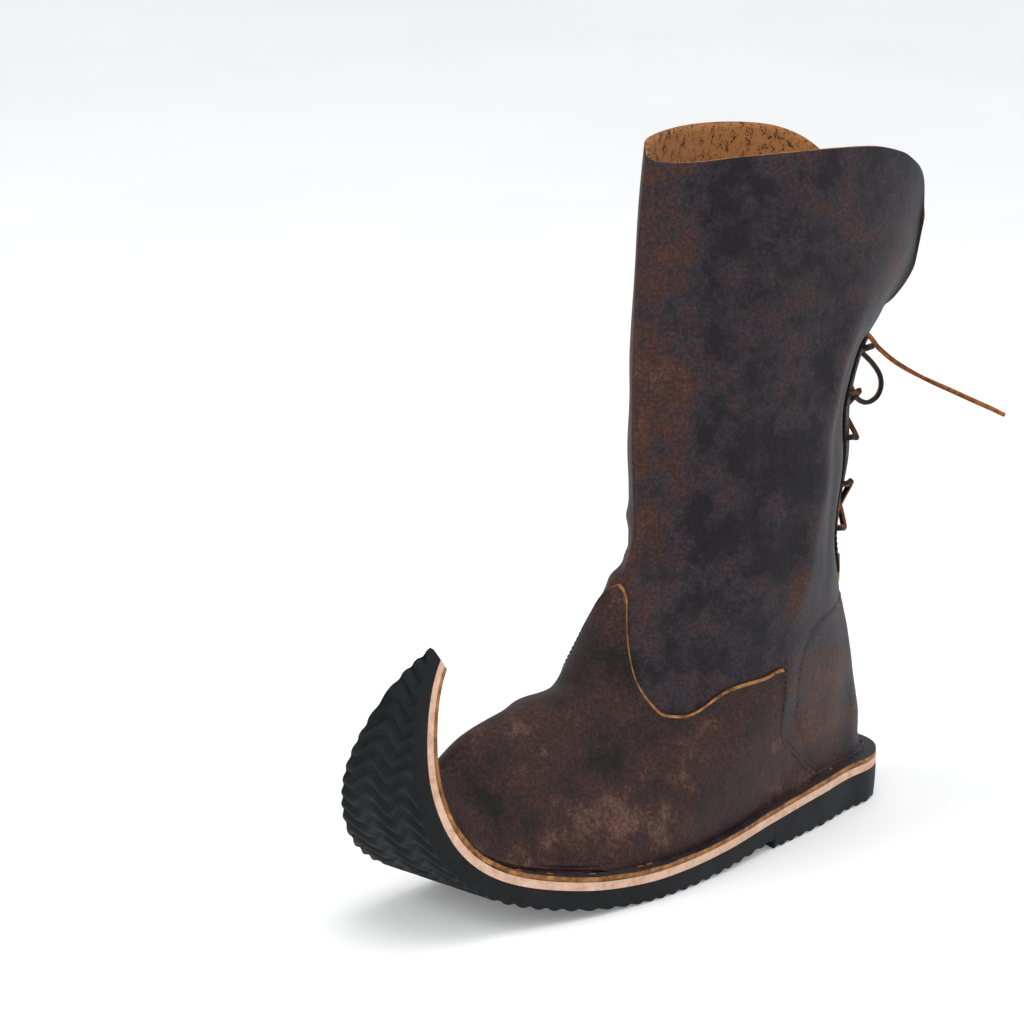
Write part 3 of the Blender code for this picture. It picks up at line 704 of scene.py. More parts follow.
@dataclass(frozen=True)
class MouldedRubber(Finish):
    """Black moulded rubber: matte, faintly blue, with a dusty bloom and a pitted mould surface."""

    name: str = "moulded rubber"
    main: str = "#0b0c0e"
    dust: str = "#1b1c20"
    roughness: float = 0.62

    def build(self, tree: bpy.types.NodeTree) -> None:
        """A faint bloom over black and a fine pitting."""
        here = add(tree, "TexCoord").outputs["Object"]
        bloom = noise(tree, here, 16, 8.0, 0.75)
        pits = noise(tree, here, 0.9, 4.0, 0.7)
        colour = ramp(tree, bloom, ((0.35, self.main), (0.75, self.dust)))
        bump = add(tree, "Bump", {"Strength": 0.35, "Distance": 0.0004}, {"Height": pits})
        surface = {"IOR": 1.52, "Specular IOR Level": 0.18, "Roughness": self.roughness}
        shader = add(tree, "BsdfPrincipled", surface, {"Base Color": colour, "Normal": bump.outputs[0]})
        add(tree, "OutputMaterial", links={0: shader.outputs[0]})


@dataclass(frozen=True)
class Matte(Finish):
    """Waxed linen thread, or the pale studio floor: one colour with a little noise."""

    name: str = "waxed thread"
    main: str = "#140d0a"
    other: str = "#2a1a12"
    roughness: float = 0.6
    size_mm: float = 1.0
    glow: float = 0.0

    def build(self, tree: bpy.types.NodeTree) -> None:
        """Two near colours mixed by noise."""
        here = add(tree, "TexCoord").outputs["Object"]
        colour = ramp(tree, noise(tree, here, self.size_mm, 3.0), ((0.4, self.main), (0.6, self.other)))
        surface = {"Roughness": self.roughness, "Emission Strength": self.glow}
        surface["Emission Color"] = linear("#ffffff")
        shader = add(tree, "BsdfPrincipled", surface, {"Base Color": colour})
        add(tree, "OutputMaterial", links={0: shader.outputs[0]})


SHAFT_LEATHER = WaxedLeather()
VAMP_LEATHER = WaxedLeather(name="waxed vamp leather", deep="#1c1414", main="#352423", warm="#472d28",
                            rubbed="#684a3e", roughness=0.60)
RAW_EDGE = Fibrous(dark="#55331a", main="#8f6034", pale="#b58450")
DARK_EDGE = Fibrous(name="dyed edge", dark="#100b08", main="#20150f", pale="#3a271a")
FLESH_SIDE = Fibrous(name="flesh side", dark="#2c1a0c", main="#8a5730", pale="#a97445", fibre_mm=1.0,
                     roughness=0.92, specks=1.1)
TAN_EDGE = Fibrous(name="vegetable tanned edge", dark="#bd957c", main="#d2ac94", pale="#dcbca8",
                   fibre_mm=0.7, roughness=0.78, specks=0.15)
RUBBER = MouldedRubber()
DARK_THREAD = Matte()
GOLD_THREAD = Matte(name="golden thread", main="#5e3a18", other="#96662f")
LINEN = Matte(name="linen thread", main="#b8b0a4", other="#dcd6cc")
THONG_GRAIN = WaxedLeather(name="thong grain side", deep="#0d0806", main="#1c110b", warm="#2e1b11",
                           rubbed="#482b1a", roughness=0.5, pebble_mm=0.8)
THONG_CUT = Fibrous(name="thong cut side", dark="#33190b", main="#6a3816", pale="#8c5224", specks=0.3)
THONG_FLESH = Fibrous(name="thong flesh side", dark="#5c2d0d", main="#8e4c1b", pale="#aa662c", specks=0.3)


class Ride(Enum):
    """Material slots of the record."""

    UPPER = "upper"
    VAMP = "vamp"
    OUTSOLE = "outsole"
    MIDSOLE = "midsole"
    INSOLE = "insole"
    LACE = "lace"


# Meshes


def settle(obj: bpy.types.Object, replaces: Sequence[str] = ()) -> bpy.types.Object:
    """Rides a piece on the boot and reports it.

    Args:
        obj: The piece.
        replaces: The solids that it stands for.

    Returns:
        The piece.
    """
    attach(obj, "root")
    if replaces:
        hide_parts(*replaces)
    LOG.info("%s: %d faces", obj.name, len(obj.data.polygons))
    return obj


def finish_mesh(name: str, bm: bmesh.types.BMesh, finishes: Sequence[Finish]) -> bpy.types.Object:
    """Turns a bmesh into an object.

    Args:
        name: The object's name.
        bm: The mesh, which is freed.
        finishes: Its materials in slot order.

    Returns:
        The object.
    """
    mesh = bpy.data.meshes.new(name)
    for face in bm.faces:
        face.smooth = True
    bm.to_mesh(mesh)
    bm.free()
    for item in finishes:
        mesh.materials.append(item.get())
    obj = bpy.data.objects.new(name, mesh)
    bpy.context.scene.collection.objects.link(obj)
    return obj


def grid(points: np.ndarray, values: dict[str, np.ndarray] | None = None) -> bmesh.types.BMesh:
    """A bmesh grid moved onto points.

    Args:
        points: Rows by columns by 3.
        values: Float attributes by name, rows by columns.

    Returns:
        The bmesh.
    """
    rows, columns = points.shape[0] - 1, points.shape[1] - 1
    bm = bmesh.new()
    bmesh.ops.create_grid(bm, x_segments=columns, y_segments=rows, size=0.5)
    layers = {name: bm.verts.layers.float.new(name) for name in (values or {})}
    for vert in bm.verts:
        i = round((vert.co.x + 0.5) * columns)
        j = round((vert.co.y + 0.5) * rows)
        vert.co = Vector(points[j, i])
        for name, layer in layers.items():
            vert[layer] = float(values[name][j, i])
    bmesh.ops.remove_doubles(bm, verts=bm.verts, dist=2e-6)
    return bm


def face_out(bm: bmesh.types.BMesh, towards: Callable[[Vector], Vector]) -> None:
    """Turns a sheet over if most of its faces point the wrong way.

    Args:
        bm: The sheet.
        towards: The outward direction at a place.
    """
    bm.normal_update()
    tried = list(bm.faces)[::7]
    score = sum(1 if f.normal.dot(towards(f.calc_center_median())) > 0 else -1 for f in tried)
    if score < 0:
        bmesh.ops.reverse_faces(bm, faces=bm.faces)


def applied(obj: bpy.types.Object) -> bpy.types.Object:
    """Bakes an object's modifiers into its mesh.

    Args:
        obj: The object.

    Returns:
        The same object.
    """
    graph = bpy.context.evaluated_depsgraph_get()
    mesh = bpy.data.meshes.new_from_object(obj.evaluated_get(graph), depsgraph=graph)
    obj.modifiers.clear()
    obj.data = mesh
    return obj


def wall(obj: bpy.types.Object, thickness: float, back: int = 0, rim: int = 0) -> None:
    """Gives a sheet its leather's thickness, inward.

    Args:
        obj: The sheet.
        thickness: The wall in metres.
        back: Material slots from the face to the inner face.
        rim: Material slots from the face to the rim.
    """
    solid = obj.modifiers.new("wall", "SOLIDIFY")
    solid.thickness = thickness
    solid.offset = -1
    solid.use_quality_normals = True
    solid.material_offset = back
    solid.material_offset_rim = rim


def through(points: Sequence[Sequence[float]], spacing: float) -> np.ndarray:
    """Points at an even spacing along a smooth curve through a route.

    Args:
        points: The route.
        spacing: Distance between the points.

    Returns:
        The points.
    """
    pts = np.array(points, float)
    before = np.vstack([2 * pts[0] - pts[1], pts[:-1]])
    after = np.vstack([pts[1:], 2 * pts[-1] - pts[-2]])
    slope = (after - before) / 2
    line = []
    for i in range(len(pts) - 1):
        t = np.linspace(0, 1, 25)[:-1, None]
        start = pts[i] * (1 + 2 * t) * (1 - t) ** 2 + slope[i] * t * (1 - t) ** 2
        line.append(start + pts[i + 1] * t * t * (3 - 2 * t) + slope[i + 1] * t * t * (t - 1))
    return even(np.vstack([*line, pts[-1:]]), spacing)


def even(line: np.ndarray, spacing: float) -> np.ndarray:
    """Resamples a line at an even spacing.

    Args:
        line: The line's points.
        spacing: Distance between the new points.

    Returns:
        The new points.
    """
    length = np.concatenate([[0], np.cumsum(np.linalg.norm(np.diff(line, axis=0), axis=1))])
    at = np.linspace(0, length[-1], max(2, round(length[-1] / spacing) + 1))
    return np.stack([np.interp(at, length, line[:, k]) for k in range(3)], -1)


def length_of(line: np.ndarray) -> float:
    """Length of a line of points."""
    return float(np.linalg.norm(np.diff(line, axis=0), axis=1).sum())


def thong(name: str, line: np.ndarray, up: Sequence[float], width: float = THONG, twist: float = 0.0,
          finishes: Sequence[Finish] = (THONG_GRAIN, THONG_CUT)) -> bpy.types.Object:
    """A square-cut leather thong swept along a line, dark on two sides and cut on two.

    Args:
        name: The object's name.
        line: Its centreline.
        up: Direction that its grain side faces at the start.
        width: Side of its section.
        twist: Turns along the line, in radians.
        finishes: Its grain side and its cut side.

    Returns:
        The object, closed at its ends.
    """
    half, soft = width / 2, width * 0.16
    ring = [(half, -half + soft), (half, half - soft), (half - soft, half), (-half + soft, half),
            (-half, half - soft), (-half, -half + soft), (-half + soft, -half), (half - soft, -half)]
    side = np.asarray(up, float)
    tangents = np.gradient(line, axis=0)
    rows = []
    for k, (centre, tangent) in enumerate(zip(line, tangents)):
        tangent = tangent / np.linalg.norm(tangent)
        side = side - tangent * np.dot(side, tangent)
        side = side / np.linalg.norm(side)
        other = np.cross(tangent, side)
        turn = twist * k / len(line)
        a = side * math.cos(turn) + other * math.sin(turn)
        b = other * math.cos(turn) - side * math.sin(turn)
        rows.append([centre + a * u + b * v for u, v in [*ring, ring[0]]])
    bm = grid(np.array(rows))
    edges = [e for e in bm.edges if e.is_boundary]
    bmesh.ops.holes_fill(bm, edges=edges, sides=0)
    bmesh.ops.recalc_face_normals(bm, faces=bm.faces)
    for face in bm.faces:
        centre = face.calc_center_median()
        k = int(np.argmin(((line - np.array(centre)) ** 2).sum(1)))
        across = np.array(face.normal)
        tangent = tangents[k] / np.linalg.norm(tangents[k])
        if len(face.verts) > 4 or abs(np.dot(across, tangent)) > 0.8:
            face.material_index = 1
            continue
        row = rows[k]
        lateral = (np.array(row[2]) + np.array(row[3]) - np.array(row[6]) - np.array(row[7]))
        lateral = lateral / np.linalg.norm(lateral)
        face.material_index = 1 if abs(np.dot(across, lateral)) > 0.75 else 0
    return finish_mesh(name, bm, finishes)


def stitches(name: str, line: np.ndarray, out: np.ndarray, pitch: float, length: float, thickness: float,
             finishes: Sequence[Finish], golden: float = 0.0, slant: float = 0.0) -> bpy.types.Object:
    """A row of thread stitches.

    Args:
        name: The object's name.
        line: The seam's line on the leather.
        out: Outward direction at each of its points.
        pitch: Distance from one stitch to the next.
        length: Length of a stitch.
        thickness: Thickness of the thread.
        finishes: Thread, and the thread of the odd golden stitch.
        golden: Share of golden stitches.
        slant: Turn of each stitch in the surface, in radians.

    Returns:
        The object.
    """
    run = np.concatenate([[0], np.cumsum(np.linalg.norm(np.diff(line, axis=0), axis=1))])
    count = int(run[-1] / pitch)
    rng = np.random.default_rng(len(name))
    bm = bmesh.new()
    for k in range(count):
        at = (k + 0.5) * pitch
        centre = np.array([np.interp(at, run, line[:, c]) for c in range(3)])
        ahead = np.array([np.interp(at + pitch / 3, run, line[:, c]) for c in range(3)])
        normal = np.array([np.interp(at, run, out[:, c]) for c in range(3)])
        x = Vector(ahead - centre).normalized()
        z = Vector(normal).normalized()
        y = z.cross(x).normalized()
        turned = x * math.cos(slant) + y * math.sin(slant)
        z = turned.cross(z.cross(turned)).normalized()
        y = z.cross(turned).normalized()
        stretch = length * rng.uniform(0.9, 1.08) / 2
        basis = Matrix((turned * stretch, y * thickness / 2, z * thickness / 2)).transposed().to_4x4()
        basis.translation = Vector(centre) + z * thickness * 0.12
        made = bmesh.ops.create_uvsphere(bm, u_segments=6, v_segments=5, radius=1.0,
                                         matrix=basis @ Matrix.Rotation(math.pi / 2, 4, "Y"))
        if rng.random() < golden:
            for face in {f for v in made["verts"] for f in v.link_faces}:
                face.material_index = 1
    bmesh.ops.recalc_face_normals(bm, faces=bm.faces)
    return finish_mesh(name, bm, finishes)


def warmth_and_dent_shade(level: np.ndarray, share: np.ndarray, side: np.ndarray, base: float) -> np.ndarray:
    """How reddish and pale the leather is: along the front ridge, over raised folds where it is rubbed, and
    near the sole; darker in the dents, which is painted shade.

    Args:
        level: 0 at the seam on the sole, 14 at the rim.
        share: 0 at the back, 1 at the front ridge.
        side: 1 lateral, -1 medial.
        base: What it is elsewhere.

    Returns:
        Values from 0 to 1.
    """
    ridge = ease((share - 0.80) / 0.16)
    foot = ease((6.0 - level) / 2.0) * 0.25
    heel = ease((0.33 - share) / 0.1) * ease((6.2 - level) / 0.6) * 0.05
    # Follows the relief: raised folds paler from rubbing, dents darker as painted shade.
    high = np.clip(LAST.relief(level, share, side) * 110, -0.16, 0.18)
    patch = 0.16 * np.sin(2.3 * level + 5 * share) * np.sin(13 * share - 1.3 * level + side)
    return np.clip(base + 0.42 * ridge * ease((level - 5) / 1.5) + foot + heel + high + patch, 0, 1)


# The leather upper


@dataclass
class Upper:
    """The shaft and foot as one wall, from the turned-out edge on the sole to the rim."""

    columns: int = 76
    rows: int = 160
    flange_rows: int = 12

    def shares(self) -> tuple[np.ndarray, np.ndarray]:
        """Share and side of each column, from the lateral back round the front to the medial back."""
        steps = np.arange(2 * self.columns + 1)
        folded = np.where(steps <= self.columns, steps, 2 * self.columns - steps)
        share = (1 - np.cos(np.pi * folded / self.columns)) / 2
        return share, np.where(steps <= self.columns, 1.0, -1.0)

    def build(self, holes: bpy.types.Object) -> bpy.types.Object:
        """Builds the wall and drills the lace holes.

        Args:
            holes: The punches.

        Returns:
            The piece.
        """
        share, side = self.shares()
        outward = np.linspace(1.0, 0.0, self.flange_rows)[:, None]
        ripple = 0.00025 * np.sin(60 * share + 3 * np.sin(23 * share))
        low = LAST.flange(outward, share[None, :], side[None, :])
        low[..., 2] = low[..., 2] + ripple * outward
        foot, leg = np.linspace(0.06, 1.0, 16), np.linspace(1.08, RIM_LEVEL, self.rows)
        level = np.concatenate([foot, leg])[:, None]
        relief = LAST.relief(level, share[None, :], side[None, :])
        seam = 0.0007 * np.exp(-((1 - share[None, :]) / 0.0016) ** 2) * ease((level - 6.6) / 0.2)
        high = LAST.skin(level, share[None, :], side[None, :], relief - seam)
        warm = warmth_and_dent_shade(level, share[None, :] + 0 * level, side[None, :] + 0 * level, 0.10)
        warm_low = np.full((self.flange_rows, len(share)), 0.22)
        bm = grid(np.concatenate([low, high]), {"warm": np.concatenate([warm_low, warm])})
        face_out(bm, lambda p: Vector((p.x + CENTRE_X, 0, 0)) if p.z > 0.15 else Vector((0, 0, 0)))
        obj = finish_mesh("shaft_and_foot", bm, (SHAFT_LEATHER, FLESH_SIDE, RAW_EDGE))
        wall(obj, LEATHER, back=1, rim=2)
        cut = obj.modifiers.new("lace holes", "BOOLEAN")
        cut.object = holes
        cut.solver = "EXACT"
        obj = applied(obj)
        for face in obj.data.polygons:
            if face.material_index == 1 and face.center.z < 0.045:
                face.material_index = 0
        return settle(obj, ("upper", "counter_lateral", "counter_medial"))


@dataclass
class Vamp:
    """The piece over the toe and instep, laid over the shaft."""

    columns: int = 84
    rows: int = 70

    def build(self) -> bpy.types.Object:
        """A sheet from the crease on the sole up to the cut edge."""
        back = VAMP_EDGE[0][0]
        t = np.linspace(0, 1, self.columns)
        one = back + (1 - back) * (1 - np.cos(np.pi * t)) / 2
        share = np.concatenate([one, one[-2::-1]])
        side = np.where(np.arange(len(share)) < self.columns, 1.0, -1.0)
        top = read(VAMP_EDGE, 1, share)
        u = np.linspace(0, 1, self.rows)[:, None] ** 0.9
        level = np.vstack([0.02 + u * (top[None, :] - RAW_LEVEL - 0.02), top[None, :]])
        share_2d, side_2d = share[None, :] + 0 * level, side[None, :] + 0 * level
        cut = np.zeros(level.shape)
        cut[-1] = 1.0
        rise = mix(0.0006, FIT + OVERLAY, ease(level / 0.35)) - 0.0008 * cut
        points = LAST.skin(level, share_2d, side_2d, LAST.relief(level, share_2d, side_2d) + rise)
        bm = grid(points, {"warm": warmth_and_dent_shade(level, share_2d, side_2d, 0.20), "cut": cut})
        face_out(bm, lambda p: Vector((p.x, 0, 0.02)))
        layer = bm.verts.layers.float["cut"]
        for face in bm.faces:
            face.material_index = 1 if any(vert[layer] > 0.5 for vert in face.verts) else 0
        obj = finish_mesh("vamp_piece", bm, (VAMP_LEATHER, RAW_EDGE, DARK_EDGE))
        wall(obj, OVERLAY, rim=1)
        obj = applied(obj)
        self.darken_back(obj)
        return settle(obj, ("vamp",))

    def darken_back(self, obj: bpy.types.Object) -> None:
        """The upright rear edges are dyed, and only the top edge is raw.

        Args:
            obj: The vamp.
        """
        corner = LAST.point(4.9, 0.438, 1.0)
        for face in obj.data.polygons:
            if face.material_index == 1:
                centre = face.center
                if centre.y > corner[1] - 0.001 and centre.z < corner[2] + 0.004:
                    face.material_index = 2

    def seam(self) -> list[bpy.types.Object]:
        """The row of stitches just inside the cut edge, on both sides."""
        made = []
        share = np.concatenate([np.linspace(0.165, 0.43, 90), np.linspace(0.432, 1.0, 160)])
        level = read(VAMP_EDGE, 1, share)
        for side, name in ((1.0, "lateral"), (-1.0, "medial")):
            rise = LAST.relief(level, share, side) + FIT + OVERLAY
            edge = LAST.skin(level, share, side, rise)
            lower = LAST.skin(level - 0.05, np.minimum(share + 0.002, 1), side, rise)
            out = edge - LAST.skin(level, share, side, 0.0)
            out = out / np.linalg.norm(out, axis=1, keepdims=True)
            along = np.gradient(edge, axis=0)
            inward = np.cross(along, out)
            inward = inward / np.linalg.norm(inward, axis=1, keepdims=True)
            inward = inward * np.sign((inward * (lower - edge)).sum(1, keepdims=True))
            line = even(edge + inward * 0.0026, 0.0008)
            fine, coarse = np.linspace(0, 1, len(line)), np.linspace(0, 1, len(out))
            normals = np.stack([np.interp(fine, coarse, out[:, k]) for k in range(3)], -1)
            row = stitches(f"vamp_stitches_{name}", line, normals, 0.0028, 0.0021, 0.0007,
                           (DARK_THREAD, GOLD_THREAD), golden=0.0)
            made.append(settle(row))
        return made


@dataclass
class Back:
    """The rear of the boot: back seam, facings with lace holes, and the stiffener's outline."""

    seam_columns: int = 8
    seam_rows: int = 120
    stitch_inset: float = 0.0022

    def hole_level(self, number: int) -> float:
        """Level at which the slit's edge has the height of a pair of holes.

        Args:
            number: The pair, 0 the lowest.

        Returns:
            The level.
        """
        levels = np.linspace(SLIT_LEVEL, DROP_FROM, 200)
        heights = LAST.point(levels, 0.0, 1.0)[:, 2]
        return float(np.interp(FIRST_HOLE + number * HOLE_PITCH, heights, levels))

    def hole_place(self, number: int, side: float) -> tuple[np.ndarray, np.ndarray]:
        """The middle of a lace hole on the skin, and the direction outward.

        Args:
            number: The pair, 0 the lowest.
            side: 1 lateral, -1 medial.

        Returns:
            The place and the unit direction.
        """
        level = self.hole_level(number)
        share = LAST.share_at(level, side, HOLE_INSET)
        here = LAST.skin(level, share, side, 0.0)
        out = LAST.skin(level, share, side, 0.01) - here
        return here, out / np.linalg.norm(out)

    def punches(self) -> bpy.types.Object:
        """One mesh with a punch for each lace hole."""
        bm = bmesh.new()
        for number in range(HOLES):
            for side in (1.0, -1.0):
                here, out = self.hole_place(number, side)
                turn = Vector(out).to_track_quat("Z", "Y").to_matrix().to_4x4()
                turn.translation = Vector(here)
                bmesh.ops.create_cone(bm, cap_ends=True, segments=20, radius1=HOLE / 2, radius2=HOLE / 2,
                                      depth=0.010, matrix=turn)
        return finish_mesh("punches", bm, (DARK_EDGE,))

    def facing(self, side: float, name: str, holes: bpy.types.Object) -> bpy.types.Object:
        """The strip beside the slit, with a dark edge and its holes.

        Args:
            side: 1 lateral, -1 medial.
            name: The object's name.
            holes: The punches.

        Returns:
            The strip.
        """
        levels = np.linspace(FACING[0][0], FACING[-1][0], 110)
        share = np.zeros((len(levels), 9))
        for j, level in enumerate(levels):
            start = 0.0004 if level > SLIT_LEVEL else SEAM_WIDTH / 2 + 3 * FIT
            reach = max(float(read(FACING, 1, level)) * FACING_WIDTH, start + 0.0012)
            for i in range(9):
                share[j, i] = LAST.share_at(level, side, mix(start, reach, i / 8))
        level_2d = levels[:, None] + 0 * share
        out = LAST.relief(level_2d, share, side) + FIT + FACING_WALL
        warm = warmth_and_dent_shade(level_2d, share, side + 0 * share, 0.12)
        bm = grid(LAST.skin(level_2d, share, side, out), {"warm": warm})
        face_out(bm, lambda p: Vector((side, 0.3, 0)))
        obj = finish_mesh(name, bm, (SHAFT_LEATHER, SHAFT_LEATHER, DARK_EDGE))
        wall(obj, FACING_WALL, rim=2)
        cut = obj.modifiers.new("lace holes", "BOOLEAN")
        cut.object = holes
        cut.solver = "EXACT"
        return applied(obj)

    def facings(self, holes: bpy.types.Object) -> None:
        """Both facings and the stitches round them.

        Args:
            holes: The punches.
        """
        for side, word in ((1.0, "lateral"), (-1.0, "medial")):
            piece = self.facing(side, f"facing_strip_{word}", holes)
            settle(piece, (f"facing_{word}",))
            levels = np.linspace(6.42, 11.2, 160)
            across = np.asarray(read(FACING, 1, levels)) * FACING_WIDTH - self.stitch_inset
            share = np.array([LAST.share_at(v, side, float(d)) for v, d in zip(levels, across)])
            line = LAST.skin(levels, share, side, LAST.relief(levels, share, side) + FIT + FACING_WALL)
            out = line - LAST.skin(levels, share, side, 0.0)
            row = stitches(f"facing_stitches_{word}", line, out, 0.0028, 0.0021, 0.0006,
                           (DARK_THREAD, GOLD_THREAD), golden=0.0)
            settle(row)

    def seam(self) -> bpy.types.Object:
        """The raised seam up the middle of the back, with raw cut sides."""
        levels = np.linspace(0.50, SLIT_LEVEL - 0.25, self.seam_rows)
        half = self.seam_columns // 2
        points = np.zeros((len(levels), self.seam_columns + 1, 3))
        for j, level in enumerate(levels):
            for i in range(self.seam_columns + 1):
                side = 1.0 if i <= half else -1.0
                share = LAST.share_at(level, side, abs(i - half) / half * SEAM_WIDTH / 2)
                rise = LAST.relief(level, share, side) + 4 * FIT + OVERLAY
                points[j, i] = LAST.skin(level, share, side, rise)
        bm = grid(points, {"warm": np.full(points.shape[:2], 0.25)})
        face_out(bm, lambda p: Vector((0, 1, 0)))
        obj = finish_mesh("back_seam_strip", bm, (SHAFT_LEATHER, SHAFT_LEATHER, RAW_EDGE))
        wall(obj, OVERLAY, rim=2)
        return settle(applied(obj), ("back_seam",))

    def stiffener_rows(self) -> None:
        """The slanted stitches round the heel stiffener."""
        level = np.linspace(0.9, 5.81, 240)
        share = np.asarray(read(COUNTER_FRONT, 1, level))
        for side, word in ((1.0, "lateral"), (-1.0, "medial")):
            line = LAST.skin(level, share, side, LAST.relief(level, share, side))
            tail_share = np.linspace(float(share[-1]), 0.03, 30)[1:]
            tail_level = np.linspace(*STIFFENER_TOP, 29)
            tail = LAST.skin(tail_level, tail_share, side, LAST.relief(5.85, tail_share, side))
            line = np.vstack([line, tail])
            inner = [LAST.skin(level, share, side, -0.01), LAST.skin(tail_level, tail_share, side, -0.01)]
            base = np.vstack(inner)
            row = stitches(f"stiffener_stitches_{word}", line, line - base, 0.0025, 0.0022, 0.0007,
                           (DARK_THREAD, GOLD_THREAD), golden=0.0, slant=0.5)
            settle(row)


@dataclass
class Threads:
    """The rows that hold the leather to the sole, and a knot of linen at the top of the front seam."""

    def sole_row(self) -> None:
        """Long dark stitches on the turned-out edge, a few of them golden."""
        share = np.concatenate([np.linspace(0.0, 0.06, 40), np.linspace(0.062, 0.985, 400)])
        for side, word in ((1.0, "lateral"), (-1.0, "medial")):
            line = LAST.flange(np.full(share.shape, 0.34), share, side, 0.0)
            above = LAST.flange(np.full(share.shape, 0.34), share, side, 0.004)
            row = stitches(f"sole_stitches_{word}", line, above - line, 0.0058, 0.0046, 0.0009,
                           (DARK_THREAD, GOLD_THREAD), golden=0.16)
            settle(row)

    def front_knot(self) -> None:
        """A small knot of pale thread inside the front corner of the rim."""
        levels = np.array([13.72, 13.62, 13.52])
        line = LAST.skin(levels, 0.972, -1.0, -LEATHER - 0.0002)
        out = LAST.skin(levels, 0.972, -1.0, -0.01) - line
        row = stitches("front_knot", line, out, 0.0011, 0.0026, 0.0012, (LINEN, LINEN), slant=1.3)
        settle(row)


# The sole


@dataclass
class Sole:
    """Rubber with a waved tread under a tan leather midsole."""

    wave_pitch: float = 0.0088
    wave_height: float = 0.0021
    wave_swing: float = 0.0036
    wave_length: float = 0.0235
    across: int = 46

    def stations(self, spacing: float) -> np.ndarray:
        """Runs of the sections, closer in the round heel.

        Args:
            spacing: Distance between them past the heel.

        Returns:
            The runs, rising.
        """
        heel = HEEL_ROUND * (1 - np.cos(np.radians(np.linspace(0, 90, 22))))
        rest = np.arange(HEEL_ROUND, SOLE_RUN - 0.0005, spacing)
        extra = [HEEL_LENGTH, HEEL_LENGTH + 0.0012, SOLE_RUN]
        return np.unique(np.round(np.concatenate([heel, rest, extra]), 6))

    def edges(self, run: np.ndarray) -> tuple[np.ndarray, np.ndarray]:
        """Middle and half width of the outline at each run."""
        return LAST.middle(run), LAST.half_width(run) * LAST.heel_end(run)

    def tread(self, run: np.ndarray, x: np.ndarray) -> np.ndarray:
        """Depth of the tread's cut at a point: waves that run across the sole.

        Args:
            run: Distance along the underside.
            x: Place across the sole.

        Returns:
            The depth in metres.
        """
        swing = self.wave_swing * np.sin(2 * np.pi * x / self.wave_length + 0.5 * np.sin(run * 90))
        phase = 2 * np.pi * (run + swing) / self.wave_pitch
        return self.wave_height * (0.5 - 0.5 * np.sin(phase)) ** 1.4

    def outsole(self) -> bpy.types.Object:
        """A closed loft whose underside is cut with waves."""
        run = self.stations(0.0011)
        centre, half = self.edges(run)
        thick = np.where(run <= HEEL_LENGTH, LAST.rubber(run), np.minimum(OUTSOLE, LAST.rubber(run)))
        columns = []
        draft = np.minimum(0.0012, 0.5 * half)
        for share in np.linspace(-1, 1, 8):
            columns.append(LAST.on_sole(run, centre + share * half, 0.0))
        for drop in (0.12, 0.5, 0.8):
            columns.append(LAST.on_sole(run, centre + half - draft * drop ** 2, -thick * drop))
        for share in np.linspace(1, -1, self.across):
            x = share * (half - draft)
            cut = np.minimum(self.tread(run, x), 0.3 * thick)
            wall_share = ease((1 - abs(share)) * 14)
            cut = cut * mix(0.55, 1.0, wall_share)
            columns.append(LAST.on_sole(run, centre + x, -thick + cut))
        for drop in (0.8, 0.5, 0.12):
            columns.append(LAST.on_sole(run, centre - half + draft * drop ** 2, -thick * drop))
        columns.append(columns[0])
        bm = grid(np.stack(columns, 1))
        bmesh.ops.holes_fill(bm, edges=[e for e in bm.edges if e.is_boundary], sides=0)
        bmesh.ops.recalc_face_normals(bm, faces=bm.faces)
        obj = finish_mesh("rubber_outsole", bm, (RUBBER,))
        obj.data.set_sharp_from_angle(angle=math.radians(48))
        return settle(obj, ("outsole",))

    def midsole(self) -> bpy.types.Object:
        """The tan layer, its cut edge slightly uneven."""
        run = self.stations(0.0015)
        centre, half = self.edges(run)
        uneven = 0.00018 * np.sin(run * 410) * np.sin(run * 173) * np.minimum(half / 0.01, 1)
        low, high = FIT, FIT + MIDSOLE
        columns = []
        for share in (-1, -0.5, 0, 0.5, 1):
            columns.append(LAST.on_sole(run, centre + share * half, high))
        for part in (0.85, 0.5, 0.15):
            columns.append(LAST.on_sole(run, centre + half + uneven, mix(low, high, part)))
        for share in (1, 0.5, 0, -0.5, -1):
            columns.append(LAST.on_sole(run, centre + share * half, low))
        for part in (0.15, 0.5, 0.85):
            columns.append(LAST.on_sole(run, centre - half - uneven, mix(low, high, part)))
        columns.append(columns[0])
        bm = grid(np.stack(columns, 1))
        bmesh.ops.holes_fill(bm, edges=[e for e in bm.edges if e.is_boundary], sides=0)
        bmesh.ops.recalc_face_normals(bm, faces=bm.faces)
        obj = finish_mesh("leather_midsole", bm, (TAN_EDGE,))
        obj.data.set_sharp_from_angle(angle=math.radians(40))
        return settle(obj, ("midsole",))


# The lace


